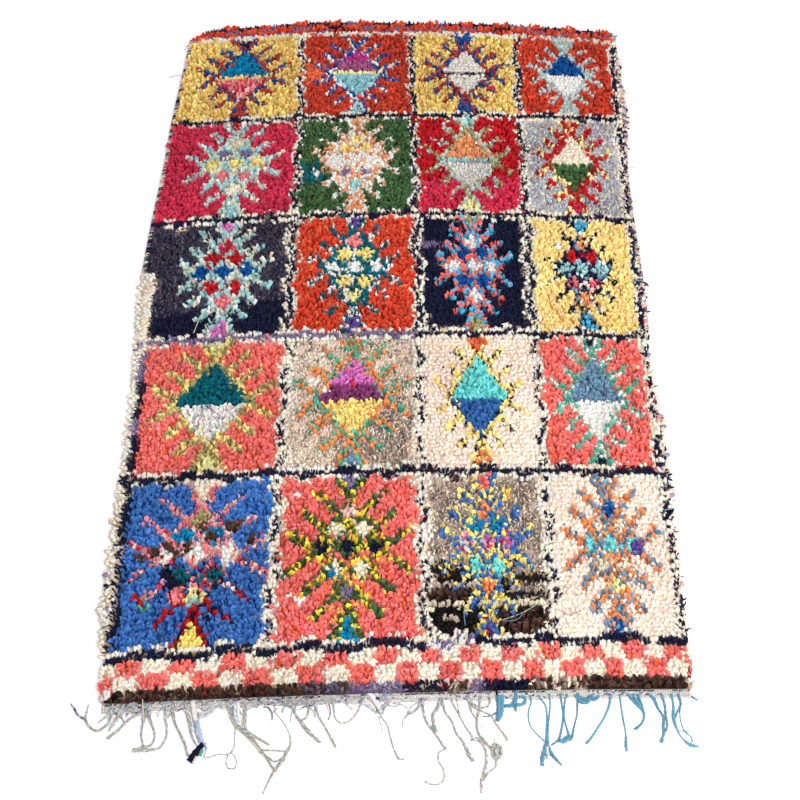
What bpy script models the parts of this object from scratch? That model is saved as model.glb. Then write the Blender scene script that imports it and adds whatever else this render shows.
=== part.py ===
# A hand-knotted rag rug lying flat, with a long fringe at its near end.
# Two pieces: the knotted field, a lumpy slab of pile with locks at its rim, and the flat-woven
# end band, whose warps run out into the fringe.
# Metres, +Z up. The rug rests on z = 0, +Y runs along it away from the fringe, and the origin
# is on the underside, half way up the field.

from collections import namedtuple

import bmesh
import bpy
import numpy as np

# The knotted field
PILE_TOP = 0.0165          # floor to the tips of the knots
PILE_LUMP = 0.0015         # rise and fall of the top in long swells
SWELL_ACROSS = 9.0         # how fast the swells follow each other, in radians a metre
SWELL_ALONG = 7.0
SWELL_DRIFT = 2.5          # how fast a swell wanders to the side of its line
SWELL_WANDER = 1.8         # and how far, in radians
PILE_CRUMB = 0.0017        # uneven cutting, from one clump of knots to the next
RIM_TOP = 0.0100           # the top where it meets the rim
CELLS_ACROSS = 36          # one cell is a clump of about four knots each way
CELLS_ALONG = 56
NEAR_RIGHT_Y = -1.122      # near edge at the right side
NEAR_SWEEP = 0.038         # how much further out the near edge runs at the left side

# The locks at the rim, one for each clump
LOCK_REACH = 0.0095
LOCK_REACH_SPREAD = 0.0040
LOCK_TIP = 0.34            # tip size as a share of the root
LOCK_SKEW = 0.22           # how far a tip leans along the rim, as a share of the root
LOCK_TIP_Z = 0.0050

# The end band and its fringe
PARTING = 0.0003           # the gap that parts the band from the field
BAND_DEPTH = 0.030
BAND_THICK = 0.0040
BAND_LEFT_X = -0.745
BAND_RIGHT_X = 0.733
STRAND_WIDE = 0.0058       # width at the root
STRAND_THICK = 0.0038
STRAND_TIP = 0.60          # width and thickness at the tip, as a share of the root's
STRAND_PITCH = 0.0125      # from one root to the next in a bunch
STRAND_STEPS = 7
STRAND_SLACK = 0.12        # share of the length that the bends take up
BUNCH_FAN = 0.35           # how much the roots' spacing grows towards the tips
BUNCH_TAPER = 0.22         # how much shorter a strand is for each step from the middle
LENGTH_SPREAD = 0.05       # uneven cutting, as a share of the length
STRAND_WANDER = 0.0035     # how far a strand strays from its smooth bend

SEED = 24

Side = namedtuple("Side", "along left right")
SIDES = (
    Side(-1.160, 0.750, 0.737),
    Side(-1.050, 0.753, 0.740),
    Side(-0.960, 0.772, 0.742),
    Side(-0.730, 0.773, 0.744),
    Side(-0.450, 0.770, 0.745),
    Side(-0.170, 0.775, 0.737),
    Side(0.080, 0.789, 0.741),
    Side(0.300, 0.782, 0.738),
    Side(0.560, 0.766, 0.738),
    Side(0.780, 0.757, 0.755),
    Side(0.950, 0.744, 0.754),
    Side(1.230, 0.726, 0.748),
)

Far = namedtuple("Far", "across y")
FAR_EDGE = (
    Far(0.00, 1.130),
    Far(0.03, 1.172),
    Far(0.07, 1.194),
    Far(0.14, 1.202),
    Far(0.30, 1.226),
    Far(0.50, 1.224),
    Far(0.74, 1.213),
    Far(0.90, 1.191),
    Far(1.00, 1.172),
)

Bunch = namedtuple("Bunch", "x strands length lean")
FRINGE = (
    Bunch(-0.718, 3, 0.056, -0.050),
    Bunch(-0.664, 2, 0.078, -0.055),
    Bunch(-0.624, 2, 0.107, -0.012),
    Bunch(-0.574, 2, 0.123, -0.004),
    Bunch(-0.522, 3, 0.140, 0.022),
    Bunch(-0.428, 2, 0.164, 0.064),
    Bunch(-0.392, 2, 0.225, 0.090),
    Bunch(-0.318, 3, 0.170, 0.046),
    Bunch(-0.250, 3, 0.108, 0.052),
    Bunch(-0.206, 2, 0.118, 0.058),
    Bunch(-0.134, 3, 0.064, 0.012),
    Bunch(-0.074, 2, 0.155, 0.062),
    Bunch(-0.034, 2, 0.148, 0.048),
    Bunch(0.070, 3, 0.216, 0.014),
    Bunch(0.124, 3, 0.164, 0.050),
    Bunch(0.206, 3, 0.240, 0.004),
    Bunch(0.262, 2, 0.070, 0.010),
    Bunch(0.300, 2, 0.054, 0.004),
    Bunch(0.352, 4, 0.182, 0.010),
    Bunch(0.412, 2, 0.120, 0.004),
    Bunch(0.446, 2, 0.110, -0.010),
    Bunch(0.546, 3, 0.142, -0.012),
    Bunch(0.598, 2, 0.090, 0.006),
    Bunch(0.640, 3, 0.126, 0.006),
    Bunch(0.694, 3, 0.130, 0.014),
)

FIELD_COLOUR = (0.56, 0.25, 0.17, 1.0)
FRINGE_COLOUR = (0.50, 0.48, 0.42, 1.0)


def clear_objects():
    for old in list(bpy.data.objects):
        bpy.data.objects.remove(old, do_unlink=True)


def make_material(name, colour, roughness):
    material = bpy.data.materials.new(name)
    material.use_nodes = True
    shader = material.node_tree.nodes["Principled BSDF"]
    shader.inputs["Base Color"].default_value = colour
    shader.inputs["Roughness"].default_value = roughness
    shader.inputs["Metallic"].default_value = 0.0
    return material


def finish_object(name, bm, material):
    """Turns the working mesh into a named object with its material."""
    bmesh.ops.recalc_face_normals(bm, faces=bm.faces)
    mesh = bpy.data.meshes.new(name)
    bm.to_mesh(mesh)
    bm.free()
    mesh.materials.append(material)
    rug_piece = bpy.data.objects.new(name, mesh)
    bpy.context.scene.collection.objects.link(rug_piece)
    return rug_piece


def smooth_curve(position, stations, values):
    """A cubic through the values, whose slope at a station is the mean of its two sides."""
    stations = np.asarray(stations, float)
    values = np.asarray(values, float)
    slopes = np.gradient(values, stations)
    place = np.clip(np.searchsorted(stations, position) - 1, 0, len(stations) - 2)
    span = stations[place + 1] - stations[place]
    t = np.clip((position - stations[place]) / span, 0.0, 1.0)
    start = (1 + 2 * t) * (1 - t) ** 2 * values[place]
    end = t * t * (3 - 2 * t) * values[place + 1]
    bend = t * (1 - t) ** 2 * slopes[place] - t * t * (1 - t) * slopes[place + 1]
    return start + end + span * bend


def near_edge(across):
    """The field's near edge: it sweeps outwards towards the left side."""
    return NEAR_RIGHT_Y - NEAR_SWEEP * (1.0 - across) ** 2


def field_points(across, along):
    """Plan position of a point of the field, from its shares of the width and the length."""
    far = smooth_curve(across, [row.across for row in FAR_EDGE], [row.y for row in FAR_EDGE])
    near = near_edge(across)
    y = near + (far - near) * along
    stations = [row.along for row in SIDES]
    left = smooth_curve(y, stations, [row.left for row in SIDES])
    right = smooth_curve(y, stations, [row.right for row in SIDES])
    return -left + (left + right) * across, y


def pile_height(x, y, rng):
    """Height of the pile: long swells, an uneven cut, and a fall at the rim."""
    swell_across = np.sin(SWELL_ACROSS * x + SWELL_WANDER * np.sin(SWELL_DRIFT * y))
    swell_along = np.sin(SWELL_ALONG * y + SWELL_WANDER * np.sin(SWELL_DRIFT * x))
    crumb = rng.uniform(-1.0, 1.0, x.shape)
    height = PILE_TOP + PILE_LUMP * swell_across * swell_along + PILE_CRUMB * crumb
    rim = np.ones(x.shape, bool)
    rim[1:-1, 1:-1] = False
    return np.where(rim, RIM_TOP + PILE_CRUMB * crumb, height)


def draw_out_locks(bm, rim_faces, rng):
    """Draws each rim face out into a tapered lock with a drooping tip."""
    drawn = bmesh.ops.extrude_discrete_faces(bm, faces=rim_faces)["faces"]
    for tip in drawn:
        root = tip.calc_center_median()
        out = tip.normal.normalized()
        along = out.cross((0.0, 0.0, 1.0))
        size = max(edge.calc_length() for edge in tip.edges)
        reach = LOCK_REACH + rng.uniform(-1.0, 1.0) * LOCK_REACH_SPREAD
        skew = rng.uniform(-1.0, 1.0) * LOCK_SKEW * size
        centre = root + out * reach + along * skew
        centre.z = LOCK_TIP_Z
        for corner in tip.verts:
            corner.co = centre + (corner.co - root) * LOCK_TIP


def build_field():
    """The knotted field: a lumpy top over a flat underside, with locks on three sides."""
    rng = np.random.default_rng(SEED)
    across, along = np.meshgrid(
        np.linspace(0.0, 1.0, CELLS_ACROSS + 1),
        np.linspace(0.0, 1.0, CELLS_ALONG + 1),
        indexing="ij",
    )
    x, y = field_points(across, along)
    z = pile_height(x, y, rng)

    bm = bmesh.new()
    top = [[bm.verts.new(point) for point in zip(*column)] for column in zip(x, y, z)]
    for i in range(CELLS_ACROSS):
        for j in range(CELLS_ALONG):
            bm.faces.new((top[i][j], top[i + 1][j], top[i + 1][j + 1], top[i][j + 1]))

    near_side = [top[i][0] for i in range(CELLS_ACROSS)]
    right_side = [top[-1][j] for j in range(CELLS_ALONG)]
    far_side = [top[i][-1] for i in range(CELLS_ACROSS, 0, -1)]
    left_side = [top[0][j] for j in range(CELLS_ALONG, 0, -1)]
    upper = near_side + right_side + far_side + left_side
    lower = [bm.verts.new((corner.co.x, corner.co.y, 0.0)) for corner in upper]
    count = len(upper)
    walls = []
    for i in range(count):
        after = (i + 1) % count
        walls.append(bm.faces.new((lower[i], lower[after], upper[after], upper[i])))
    bm.faces.new(list(reversed(lower)))
    bm.normal_update()
    draw_out_locks(bm, walls[CELLS_ACROSS:], rng)
    return finish_object("pile_field", bm, make_material("knotted_pile", FIELD_COLOUR, 0.95))


def plan_strands(rng):
    """Root, length and lean of every strand, bunch by bunch from left to right."""
    strands = []
    for bunch in FRINGE:
        for i in range(bunch.strands):
            step = i - (bunch.strands - 1) / 2.0
            root = bunch.x + step * STRAND_PITCH
            cut = LENGTH_SPREAD * rng.uniform(-1.0, 1.0)
            length = bunch.length * (1.0 - BUNCH_TAPER * abs(step) + cut)
            lean = bunch.lean + BUNCH_FAN * step * STRAND_PITCH
            strands.append((root, length, lean, rng.uniform(-1.0, 1.0)))
    return strands


def strand_path(root, root_y, length, lean, wander):
    """Centre line of a strand: straight out of the band, then bending over by its lean."""
    t = np.linspace(0.0, 1.0, STRAND_STEPS + 1)
    stray = STRAND_WANDER * wander * t * np.sin(2.0 * np.pi * t)
    x = root + lean * t * t * (3.0 - t) / 2.0 + stray
    y = root_y - length * t * (1.0 - STRAND_SLACK * t)
    return x, y


def draw_strand(bm, root_face, x, y):
    """Draws a four-sided strand out of the band's front, lying level on the floor."""
    heading = np.stack([np.gradient(x), np.gradient(y)], axis=1)
    heading /= np.linalg.norm(heading, axis=1)[:, None]
    face = root_face
    for step in range(1, STRAND_STEPS + 1):
        share = 1.0 - (1.0 - STRAND_TIP) * step / STRAND_STEPS
        side_x = -heading[step][1] * STRAND_WIDE * share / 2.0
        side_y = heading[step][0] * STRAND_WIDE * share / 2.0
        face = bmesh.ops.extrude_discrete_faces(bm, faces=[face])["faces"][0]
        middle_x = face.calc_center_median().x
        for corner in face.verts:
            sign = 1.0 if corner.co.x > middle_x else -1.0
            on_top = corner.co.z > 0.0
            corner.co.x = x[step] + sign * side_x
            corner.co.y = y[step] + sign * side_y
            corner.co.z = STRAND_THICK * share if on_top else 0.0


def band_y(x):
    """The band's back edge, parted from the field's near edge."""
    across = (x - BAND_LEFT_X) / (BAND_RIGHT_X - BAND_LEFT_X)
    return near_edge(across) - PARTING


def build_fringe():
    """The flat-woven end band, with each strand drawn out of its front edge."""
    rng = np.random.default_rng(SEED + 1)
    strands = plan_strands(rng)
    stations = [BAND_LEFT_X]
    for root, length, lean, wander in strands:
        stations += [root - STRAND_WIDE / 2.0, root + STRAND_WIDE / 2.0]
    stations.append(BAND_RIGHT_X)

    bm = bmesh.new()
    rings = []
    for x in stations:
        back = band_y(x)
        front = back - BAND_DEPTH
        corners = ((back, 0.0), (front, 0.0), (front, BAND_THICK), (back, BAND_THICK))
        rings.append([bm.verts.new((x, y, z)) for y, z in corners])
    roots = []
    for left, right in zip(rings, rings[1:]):
        for i in range(4):
            after = (i + 1) % 4
            wall = bm.faces.new((left[i], left[after], right[after], right[i]))
            if i == 1:
                roots.append(wall)
    bm.faces.new(list(reversed(rings[0])))
    bm.faces.new(rings[-1])
    bm.normal_update()

    for (root, length, lean, wander), face in zip(strands, roots[1::2]):
        x, y = strand_path(root, band_y(root) - BAND_DEPTH, length, lean, wander)
        draw_strand(bm, face, x, y)
    return finish_object("end_fringe", bm, make_material("warp_yarn", FRINGE_COLOUR, 0.90))


clear_objects()
build_field()
build_fringe()
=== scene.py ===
# A boucherouite rug lying flat: rag and wool knots on a woven ground, a flat end band with
# twined rows, and a loose warp fringe. Metres, +Z up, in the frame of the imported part, with
# +Y running along the rug away from the fringe.

import math

import bpy
import numpy as np
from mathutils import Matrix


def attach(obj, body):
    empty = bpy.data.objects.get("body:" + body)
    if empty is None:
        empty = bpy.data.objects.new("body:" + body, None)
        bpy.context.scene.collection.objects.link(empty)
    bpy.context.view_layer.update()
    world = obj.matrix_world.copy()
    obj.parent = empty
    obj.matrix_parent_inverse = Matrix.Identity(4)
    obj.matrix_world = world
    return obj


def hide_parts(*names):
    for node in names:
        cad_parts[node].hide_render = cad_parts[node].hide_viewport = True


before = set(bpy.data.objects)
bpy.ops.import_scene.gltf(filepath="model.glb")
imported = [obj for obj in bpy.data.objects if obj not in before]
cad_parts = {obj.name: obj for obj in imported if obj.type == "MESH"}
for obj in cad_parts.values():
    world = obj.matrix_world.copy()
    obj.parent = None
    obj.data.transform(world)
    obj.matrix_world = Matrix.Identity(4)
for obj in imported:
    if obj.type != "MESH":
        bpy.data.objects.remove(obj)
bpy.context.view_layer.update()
random = np.random.default_rng(24)

# The field's outline, the same stations as the solid's. A side is its distance from x = 0.
outline = {
    "sideY": [-1.160, -1.050, -0.960, -0.730, -0.450, -0.170, 0.080, 0.300, 0.560, 0.780, 0.950, 1.230],
    "left": [0.750, 0.753, 0.772, 0.773, 0.770, 0.775, 0.789, 0.782, 0.766, 0.757, 0.744, 0.726],
    "right": [0.737, 0.740, 0.742, 0.744, 0.745, 0.737, 0.741, 0.738, 0.738, 0.755, 0.754, 0.748],
    "farShare": [0.00, 0.03, 0.07, 0.14, 0.30, 0.50, 0.74, 0.90, 1.00],
    "farY": [1.130, 1.172, 1.194, 1.202, 1.226, 1.224, 1.213, 1.191, 1.172],
    "nearRightY": -1.122,
    "nearSweep": 0.038,
}

# The lines between the compartments, each a shallow arc through three places
lines = {
    "rowLeft": [1.118, 0.742, 0.333, -0.108, -0.551, -1.050],
    "rowMiddle": [1.161, 0.786, 0.375, -0.071, -0.520, -1.008],
    "rowRight": [1.115, 0.767, 0.344, -0.086, -0.528, -0.994],
    "rowReach": 0.74,
    "columnNear": [-0.737, -0.342, 0.064, 0.404, 0.735],
    "columnMiddle": [-0.744, -0.332, 0.055, 0.399, 0.722],
    "columnFar": [-0.735, -0.340, 0.040, 0.402, 0.735],
    "columnReach": 1.08,
}

# How the knots are set and how the pile lies
pile = {
    "width": 1.5,            # the rug's mean width, which the knots share
    "knotsAcross": 112,
    "rowPitch": 0.0128,
    "spareRows": [1, 0, 0, 0, 0, 0, 1],      # further rows in the two end bands, where they are closer
    "showShift": 0.008,      # a tuft shows this far beyond its root, because the pile leans
    "farReach": 0.012,       # and the last row leans this far over the edge
    "nearInset": 0.005,
    "sideInset": 0.002,
    "bareInset": 0.008,      # beside the far rows the pile starts further in, past the wound edge
    "bareFrom": 0.14,        # which begins here along the rug
    "bareOver": 0.03,        # and is at its full depth this much further on
    "rootZ": 0.0058,
    "sideHeading": 68.0,     # degrees: the bands outside the side lines lie outwards
    "sideFlatter": 9.0,      # and lean over further
    "ridgeRise": 0.0026,     # the lines between compartments stand this much higher
    "clump": 0.026,          # width of a clump of tufts in the dark stripe
    "clumpTurn": 42.0,       # how far a clump's outer tufts turn inwards
    "clumpWave": (23.0, 0.25),                  # the clumps' middles sway: radians per metre, and reach
    "clumpRise": 0.004,      # and a clump's middle stands this much higher
    "swells": [(10.0, 9.0, 4.0, 6.0), (8.0, 13.0, 3.0, 8.0)],    # the heading's: degrees, then the swell
    "ridgeCalm": 0.6,        # share of the heading's spread that the lines keep
    "leanLimits": (0.6, 1.40),                  # in radians
    "outwardLonger": 1.05,
    "lengthSpread": 0.12,
    "lengthLimits": (0.7, 1.3),
    "sizeLimits": (0.84, 1.16),
    "bend": 0.0012,          # how far a tuft bows upwards
    "fullHeight": 0.026,     # what rises over this height keeps only a share of the rest
    "overShare": 0.4,
    "lowest": 0.0004,
}

# How each kind of tuft is set, two places to a knot: shares of a knot's width, its size, how far it strays
# in degrees and in place, how uneven its colour is, and how much painted shade darkens it at the root (an
# amount below 0 is painted light that makes the root paler)
tuftFields = ("shifts", "wide", "thick", "length", "lean", "leanSpread", "headingSpread", "spinSpread",
              "jitter", "mottle", "paintedRootShading", "rise")
tufts = {kind: dict(zip(tuftFields, values)) for kind, values in {
    "rag": ([0.0], 0.0116, 0.0068, 0.0170, 57.0, 10.0, 36.0, 45.0, 0.0020, 0.12, 0.28, 0.0012),
    "wool": ([-0.125, 0.125], 0.0066, 0.0054, 0.0160, 65.0, 8.0, 52.0, 40.0, 0.0036, 0.05, 0.04, 0.0),
    # soft: the negative amount paints the roots paler than the tips, painted light in the gaps between the
    # tufts
    "soft": ([0.0], 0.0138, 0.0058, 0.0160, 66.0, 5.0, 34.0, 15.0, 0.0022, 0.03, -0.22, 0.0),
}.items()}

# Cut colours of rags and yarns, red green blue from 0 to 255, and how far a knot strays
palette = {
    "mustard": (216, 178, 105, 0.15),
    "honey": (236, 205, 121, 0.10),
    "honeyPale": (240, 204, 138, 0.09),
    "ochre": (186, 146, 80, 0.14),
    "brickDark": (166, 56, 42, 0.17),
    "brick": (202, 66, 44, 0.15),
    "ember": (214, 98, 62, 0.13),
    "crimson": (189, 49, 75, 0.19),
    "raspberry": (196, 46, 74, 0.14),
    "scarlet": (176, 26, 34, 0.16),
    "coral": (230, 110, 103, 0.15),
    "rose": (220, 120, 124, 0.17),
    "blush": (232, 182, 172, 0.12),
    "pine": (64, 94, 58, 0.22),
    "tealDark": (8, 92, 106, 0.16),
    "seaGreen": (88, 164, 140, 0.14),
    "aqua": (146, 186, 188, 0.13),
    "aquaDeep": (130, 176, 184, 0.13),
    "paleAqua": (172, 188, 186, 0.10),
    "turquoise": (108, 206, 204, 0.13),
    "sky": (76, 168, 204, 0.13),
    "azure": (6, 124, 168, 0.15),
    "denim": (52, 98, 158, 0.14),
    "royal": (16, 74, 140, 0.17),
    "cobalt": (60, 108, 174, 0.15),
    "slate": (102, 134, 158, 0.13),
    "navy": (22, 26, 52, 0.26),
    "charcoal": (57, 55, 72, 0.20),
    "black": (26, 22, 23, 0.26),
    "brown": (74, 52, 44, 0.22),
    "plumDark": (124, 58, 104, 0.14),
    "plum": (152, 80, 122, 0.14),
    "orchid": (198, 108, 172, 0.14),
    "magenta": (176, 48, 130, 0.14),
    "lilac": (122, 108, 146, 0.15),
    "violet": (92, 66, 140, 0.14),
    "cream": (223, 203, 182, 0.05),
    "softCream": (229, 201, 185, 0.04),
    "ecru": (208, 196, 186, 0.06),
    "chalk": (219, 211, 206, 0.05),
    "linen": (208, 195, 172, 0.08),
    "butter": (236, 204, 126, 0.12),
    "straw": (236, 206, 112, 0.12),
    "sun": (234, 200, 66, 0.12),
    "lemon": (226, 216, 150, 0.10),
    "olive": (152, 144, 98, 0.14),
    "apricot": (210, 140, 96, 0.14),
    "orange": (228, 134, 80, 0.13),
    "taupe": (228, 204, 186, 0.10),
    "taupeMid": (178, 160, 148, 0.12),
    "taupeDark": (130, 114, 104, 0.16),
    "ash": (152, 154, 160, 0.12),
    "ashDark": (92, 88, 104, 0.14),
    "mist": (186, 182, 182, 0.10),
    "mistDark": (138, 134, 142, 0.14),
    "mistLight": (220, 214, 208, 0.08),
    "mistRose": (212, 178, 178, 0.12),
    "yarnGrey": (202, 200, 188, 0.08),
    "yarnStraw": (198, 192, 150, 0.10),
    "yarnLavender": (136, 138, 164, 0.10),
    "yarnBlue": (94, 146, 170, 0.08),
    "paleBlue": (166, 178, 208, 0.06),
}
paletteTable = np.array(list(palette.values()), float)
codeOf = {name: code for code, name in enumerate(palette)}

# Grounds that mix several yarns, each with its share
mixtures = {
    "speckle": [("mist", 0.50), ("ash", 0.16), ("paleBlue", 0.06), ("mistDark", 0.13), ("mistLight", 0.11),
                ("mistRose", 0.04)],
    "heather": [("taupe", 0.57), ("linen", 0.13), ("taupeMid", 0.18), ("taupeDark", 0.12)],
    "heatherDark": [("taupe", 0.13), ("taupeMid", 0.45), ("linen", 0.04), ("taupeDark", 0.38)],
    "charcoalMix": [("charcoal", 0.78), ("ashDark", 0.14), ("navy", 0.08)],
    "roseMix": [("rose", 0.62), ("raspberry", 0.20), ("blush", 0.18)],
    "lineMix": [("cream", 0.40), ("ecru", 0.44), ("chalk", 0.06), ("linen", 0.10)],
    "creamMix": [("cream", 0.78), ("chalk", 0.14), ("linen", 0.08)],
    "creamWool": [("softCream", 0.90), ("cream", 0.07), ("linen", 0.03)],
    "bandMix": [("ecru", 0.36), ("cream", 0.32), ("chalk", 0.20), ("linen", 0.10), ("lilac", 0.01),
                ("navy", 0.01)],
    "pinkBand": [("cream", 0.40), ("blush", 0.14), ("ecru", 0.30), ("navy", 0.08), ("rose", 0.03),
                 ("lilac", 0.05)],
    "silverMix": [("chalk", 0.74), ("paleAqua", 0.12), ("mistRose", 0.06), ("mist", 0.06), ("lilac", 0.02)],
    "greyMix": [("mistLight", 0.72), ("mist", 0.20), ("linen", 0.08)],
    "tealMix": [("tealDark", 0.70), ("chalk", 0.30)],
    "brickMix": [("brick", 0.86), ("ember", 0.14)],
    "coralMix": [("coral", 0.84), ("rose", 0.10), ("ember", 0.06)],
    "mustardMix": [("mustard", 0.56), ("honey", 0.34), ("ochre", 0.10)],
    "sunMix": [("sun", 0.60), ("pine", 0.40)],
    "brickDeep": [("brickDark", 0.62), ("brick", 0.38)],
    "brickHalf": [("brick", 0.64), ("brickDark", 0.36)],
    "paleMustard": [("honeyPale", 0.82), ("honey", 0.18)],
    "netMix": [("navy", 0.60), ("slate", 0.20), ("mistLight", 0.20)],
    "whiteNet": [("chalk", 0.66), ("cream", 0.34)],
    "peachNet": [("apricot", 0.55), ("chalk", 0.45)],
    "magentaMix": [("orchid", 0.40), ("raspberry", 0.20), ("blush", 0.16), ("aqua", 0.12), ("lilac", 0.12)],
    "footMix": [("cobalt", 0.40), ("scarlet", 0.20), ("violet", 0.16), ("chalk", 0.12), ("sky", 0.12)],
    "paleLilac": [("lilac", 0.36), ("paleBlue", 0.14), ("mistLight", 0.50)],
    "darkEnd": [("brown", 0.86), ("black", 0.14)],
    "beigeEnd": [("taupe", 0.30), ("taupeDark", 0.40), ("brown", 0.30)],
    "plumEnd": [("brown", 0.52), ("ashDark", 0.40), ("lilac", 0.08)],
    "scrapEnd": [("brown", 0.50), ("taupeMid", 0.30), ("mistRose", 0.20)],
    "aquaMix": [("aqua", 0.66), ("linen", 0.20), ("mistLight", 0.14)],
}
mixtureStart = 100           # codes from here on stand for a mixture
for place, name in enumerate(mixtures):
    codeOf[name] = mixtureStart + place

# The yarns whose tufts are wool locks, and those whose tufts are soft rags
woolNames = ["greyMix", "mist", "mistDark", "mistLight", "mistRose", "ash", "ashDark", "taupe", "taupeDark",
             "navy", "charcoal", "black", "speckle", "heather", "heatherDark", "charcoalMix", "lilac"]
softNames = ["creamWool", "creamMix", "lineMix", "bandMix", "pinkBand", "cream", "chalk", "ecru", "whiteNet"]


def linear(colour):
    # The linear value of a screen colour: (c + 0.055) / 1.055 to the power 2.4, or c / 12.92 when dark.
    c = np.asarray(colour, float) / 255.0
    return np.where(c <= 0.04045, c / 12.92, ((c + 0.055) / 1.055) ** 2.4)


def smoothCurve(position, stations, values):
    # A cubic through the values; its slope at a station is the mean of the slopes on its two sides.
    stations, values = np.asarray(stations, float), np.asarray(values, float)
    slopes = np.gradient(values, stations)
    place = np.clip(np.searchsorted(stations, position) - 1, 0, len(stations) - 2)
    span = stations[place + 1] - stations[place]
    t = np.clip((position - stations[place]) / span, 0.0, 1.0)
    start = (1 + 2 * t) * (1 - t) ** 2 * values[place]
    end = t * t * (3 - 2 * t) * values[place + 1]
    bend = t * (1 - t) ** 2 * slopes[place] - t * t * (1 - t) * slopes[place + 1]
    return start + end + span * bend


def arc(position, low, middle, high):
    # A parabola that is low at -1, middle at 0 and high at 1.
    return middle + (high - low) / 2 * position + ((low + high) / 2 - middle) * position ** 2


def nearEdge(across):
    # nearRightY less nearSweep times the square of the share left of the right side.
    return outline["nearRightY"] - outline["nearSweep"] * (1 - across) ** 2


def farEdge(across):
    # The smooth curve through the far edge's stations, from the left side's share to the right's.
    return smoothCurve(across, outline["farShare"], outline["farY"])


def sidesAt(y):
    # The left and right edge's x at a distance along the rug.
    left = smoothCurve(y, outline["sideY"], outline["left"])
    right = smoothCurve(y, outline["sideY"], outline["right"])
    return -left, right


def rootLines(x, y):
    # The eight curves that bound the seven bands of rows, at each x, moved back to the tufts' roots.
    left, right = sidesAt(y)
    across = np.clip((x - left) / (right - left), 0, 1)
    curves = [farEdge(across) - pile["farReach"]]
    for low, middle, high in zip(lines["rowLeft"], lines["rowMiddle"], lines["rowRight"]):
        curves.append(arc(x / lines["rowReach"], low, middle, high) - pile["showShift"])
    curves.append(nearEdge(across) + pile["nearInset"])
    return np.stack(curves)


def swell(place, sideways, rate, bend, bendRate, shift=0.0):
    # The sine of the rate times the place, shifted by the bend times the sine of the bend's rate sideways.
    return np.sin(rate * place + shift + bend * np.sin(bendRate * sideways))


def waves(place, number, terms):
    # The sum of each term's reach times the sine of its rate times the place plus its step times the number.
    return sum(reach * np.sin(rate * place + step * number) for reach, rate, step in terms)


def columnLines(y):
    # The five upright lines' x at each distance along the rug.
    share = y / lines["columnReach"]
    return np.stack([arc(share, low, middle, high) for low, middle, high in
                     zip(lines["columnNear"], lines["columnMiddle"], lines["columnFar"])])


knotPitch = pile["width"] / pile["knotsAcross"]
middleLines = rootLines(np.zeros(1), np.zeros(1))[:, 0]
bandRows = np.round(-np.diff(middleLines) / pile["rowPitch"]).astype(int) + pile["spareRows"]
print("rows of knots in each band", bandRows)

# Compartments with a diamond: far row first, left column first
diamondFields = ("row", "column", "ground", "upper", "lower", "divider", "rayOne", "rayTwo", "topTip",
                 "footTip", "spread", "raySpread")
diamonds = [dict(zip(diamondFields, values)) for values in [
    (0, 0, "mustardMix", "azure", "roseMix", "butter", "royal", "brickDark", "navy", "brickDark", 1.0, 0.98),
    (0, 1, "brickDeep", "magenta", "aquaDeep", "lemon", "royal", "chalk", "brickDeep", "aqua", 1.0, 0.96),
    (0, 2, "mustardMix", "ecru", "ecru", "navy", "royal", "brickDark", "royal", "royal", 1.0, 1.00),
    (0, 3, "brickHalf", "royal", "chalk", "chalk", "paleAqua", "paleAqua", "paleAqua",
     "mistLight", 0.95, 0.96),
    (1, 2, "scarlet", "apricot", "greyMix", "aqua", "paleAqua", "olive", "aqua", "lemon", 1.08, 1.00),
    (1, 3, "speckle", "cream", "pine", "cream", "scarlet", "scarlet", "apricot", "raspberry", 1.0, 0.92),
    (3, 0, "coralMix", "tealDark", "silverMix", "tealDark", "butter", "olive", "lemon", "lemon", 1.12, 1.08),
    (3, 1, "heather", "orchid", "butter", "plumDark", "seaGreen", "orange", "olive", "slate", 1.0, 1.05),
    (3, 2, "creamWool", "turquoise", "denim", "turquoise", "navy", "butter", "scarlet", "orange", 1.0, 0.92),
    (3, 3, "coralMix", "slate", "chalk", "slate", "seaGreen", "chalk", "navy", "navy", 1.0, 0.98),
]]

# Compartments with a lattice of cells, from the far tier to the near one
latticeFields = ("row", "column", "ground", "one", "two", "cells", "topTip", "footTip", "spread", "raySpread")
lattices = [dict(zip(latticeFields, values)) for values in [
    (1, 0, "crimson", "aquaMix", "aquaMix",
     ("linen", "lilac", "butter", "rose", "cream"), "scarlet", "aqua", 1.0, 0.93),
    (1, 1, "pine", "whiteNet", "peachNet",
     ("butter", "butter", "whiteNet", "lilac", "aqua"), "apricot", "apricot", 1.0, 0.92),
    (2, 0, "charcoalMix", "aquaMix", "aquaMix",
     ("crimson", "scarlet", "royal", "scarlet", "rose"), "orchid", "orchid", 1.0, 0.86),
    (2, 1, "brickMix", "tealMix", "tealMix",
     ("rose", "butter", "chalk", "butter", "lemon"), "violet", "violet", 1.0, 0.93),
    (2, 2, "navy", "sky", "coral",
     ("chalk", "royal", "chalk", "royal", "chalk"), "olive", "olive", 0.98, 0.84),
    (2, 3, "paleMustard", "navy", "netMix",
     ("apricot", "scarlet", "aqua", "roseMix", "apricot"), "sky", "sky", 1.0, 0.86),
    (4, 0, "cobalt", "roseMix", "mistRose",
     ("olive", "azure", "chalk", "tealDark", "lemon"), "cream", "straw", 1.22, 1.24),
    (4, 1, "coralMix", "pine", "sunMix",
     ("blush", "cream", "navy", "cream", "lilac"), "lilac", "azure", 1.08, 1.08),
    (4, 2, "heatherDark", "cobalt", "straw",
     ("orange", "azure", "magentaMix", "turquoise", "orange"), "coral", "footMix", 0.94, 0.90),
    (4, 3, "creamWool", "orange", "slate",
     ("royal", "linen", "turquoise", "linen", "lemon"), "sky", "royal", 1.0, 1.00),
]]

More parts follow.
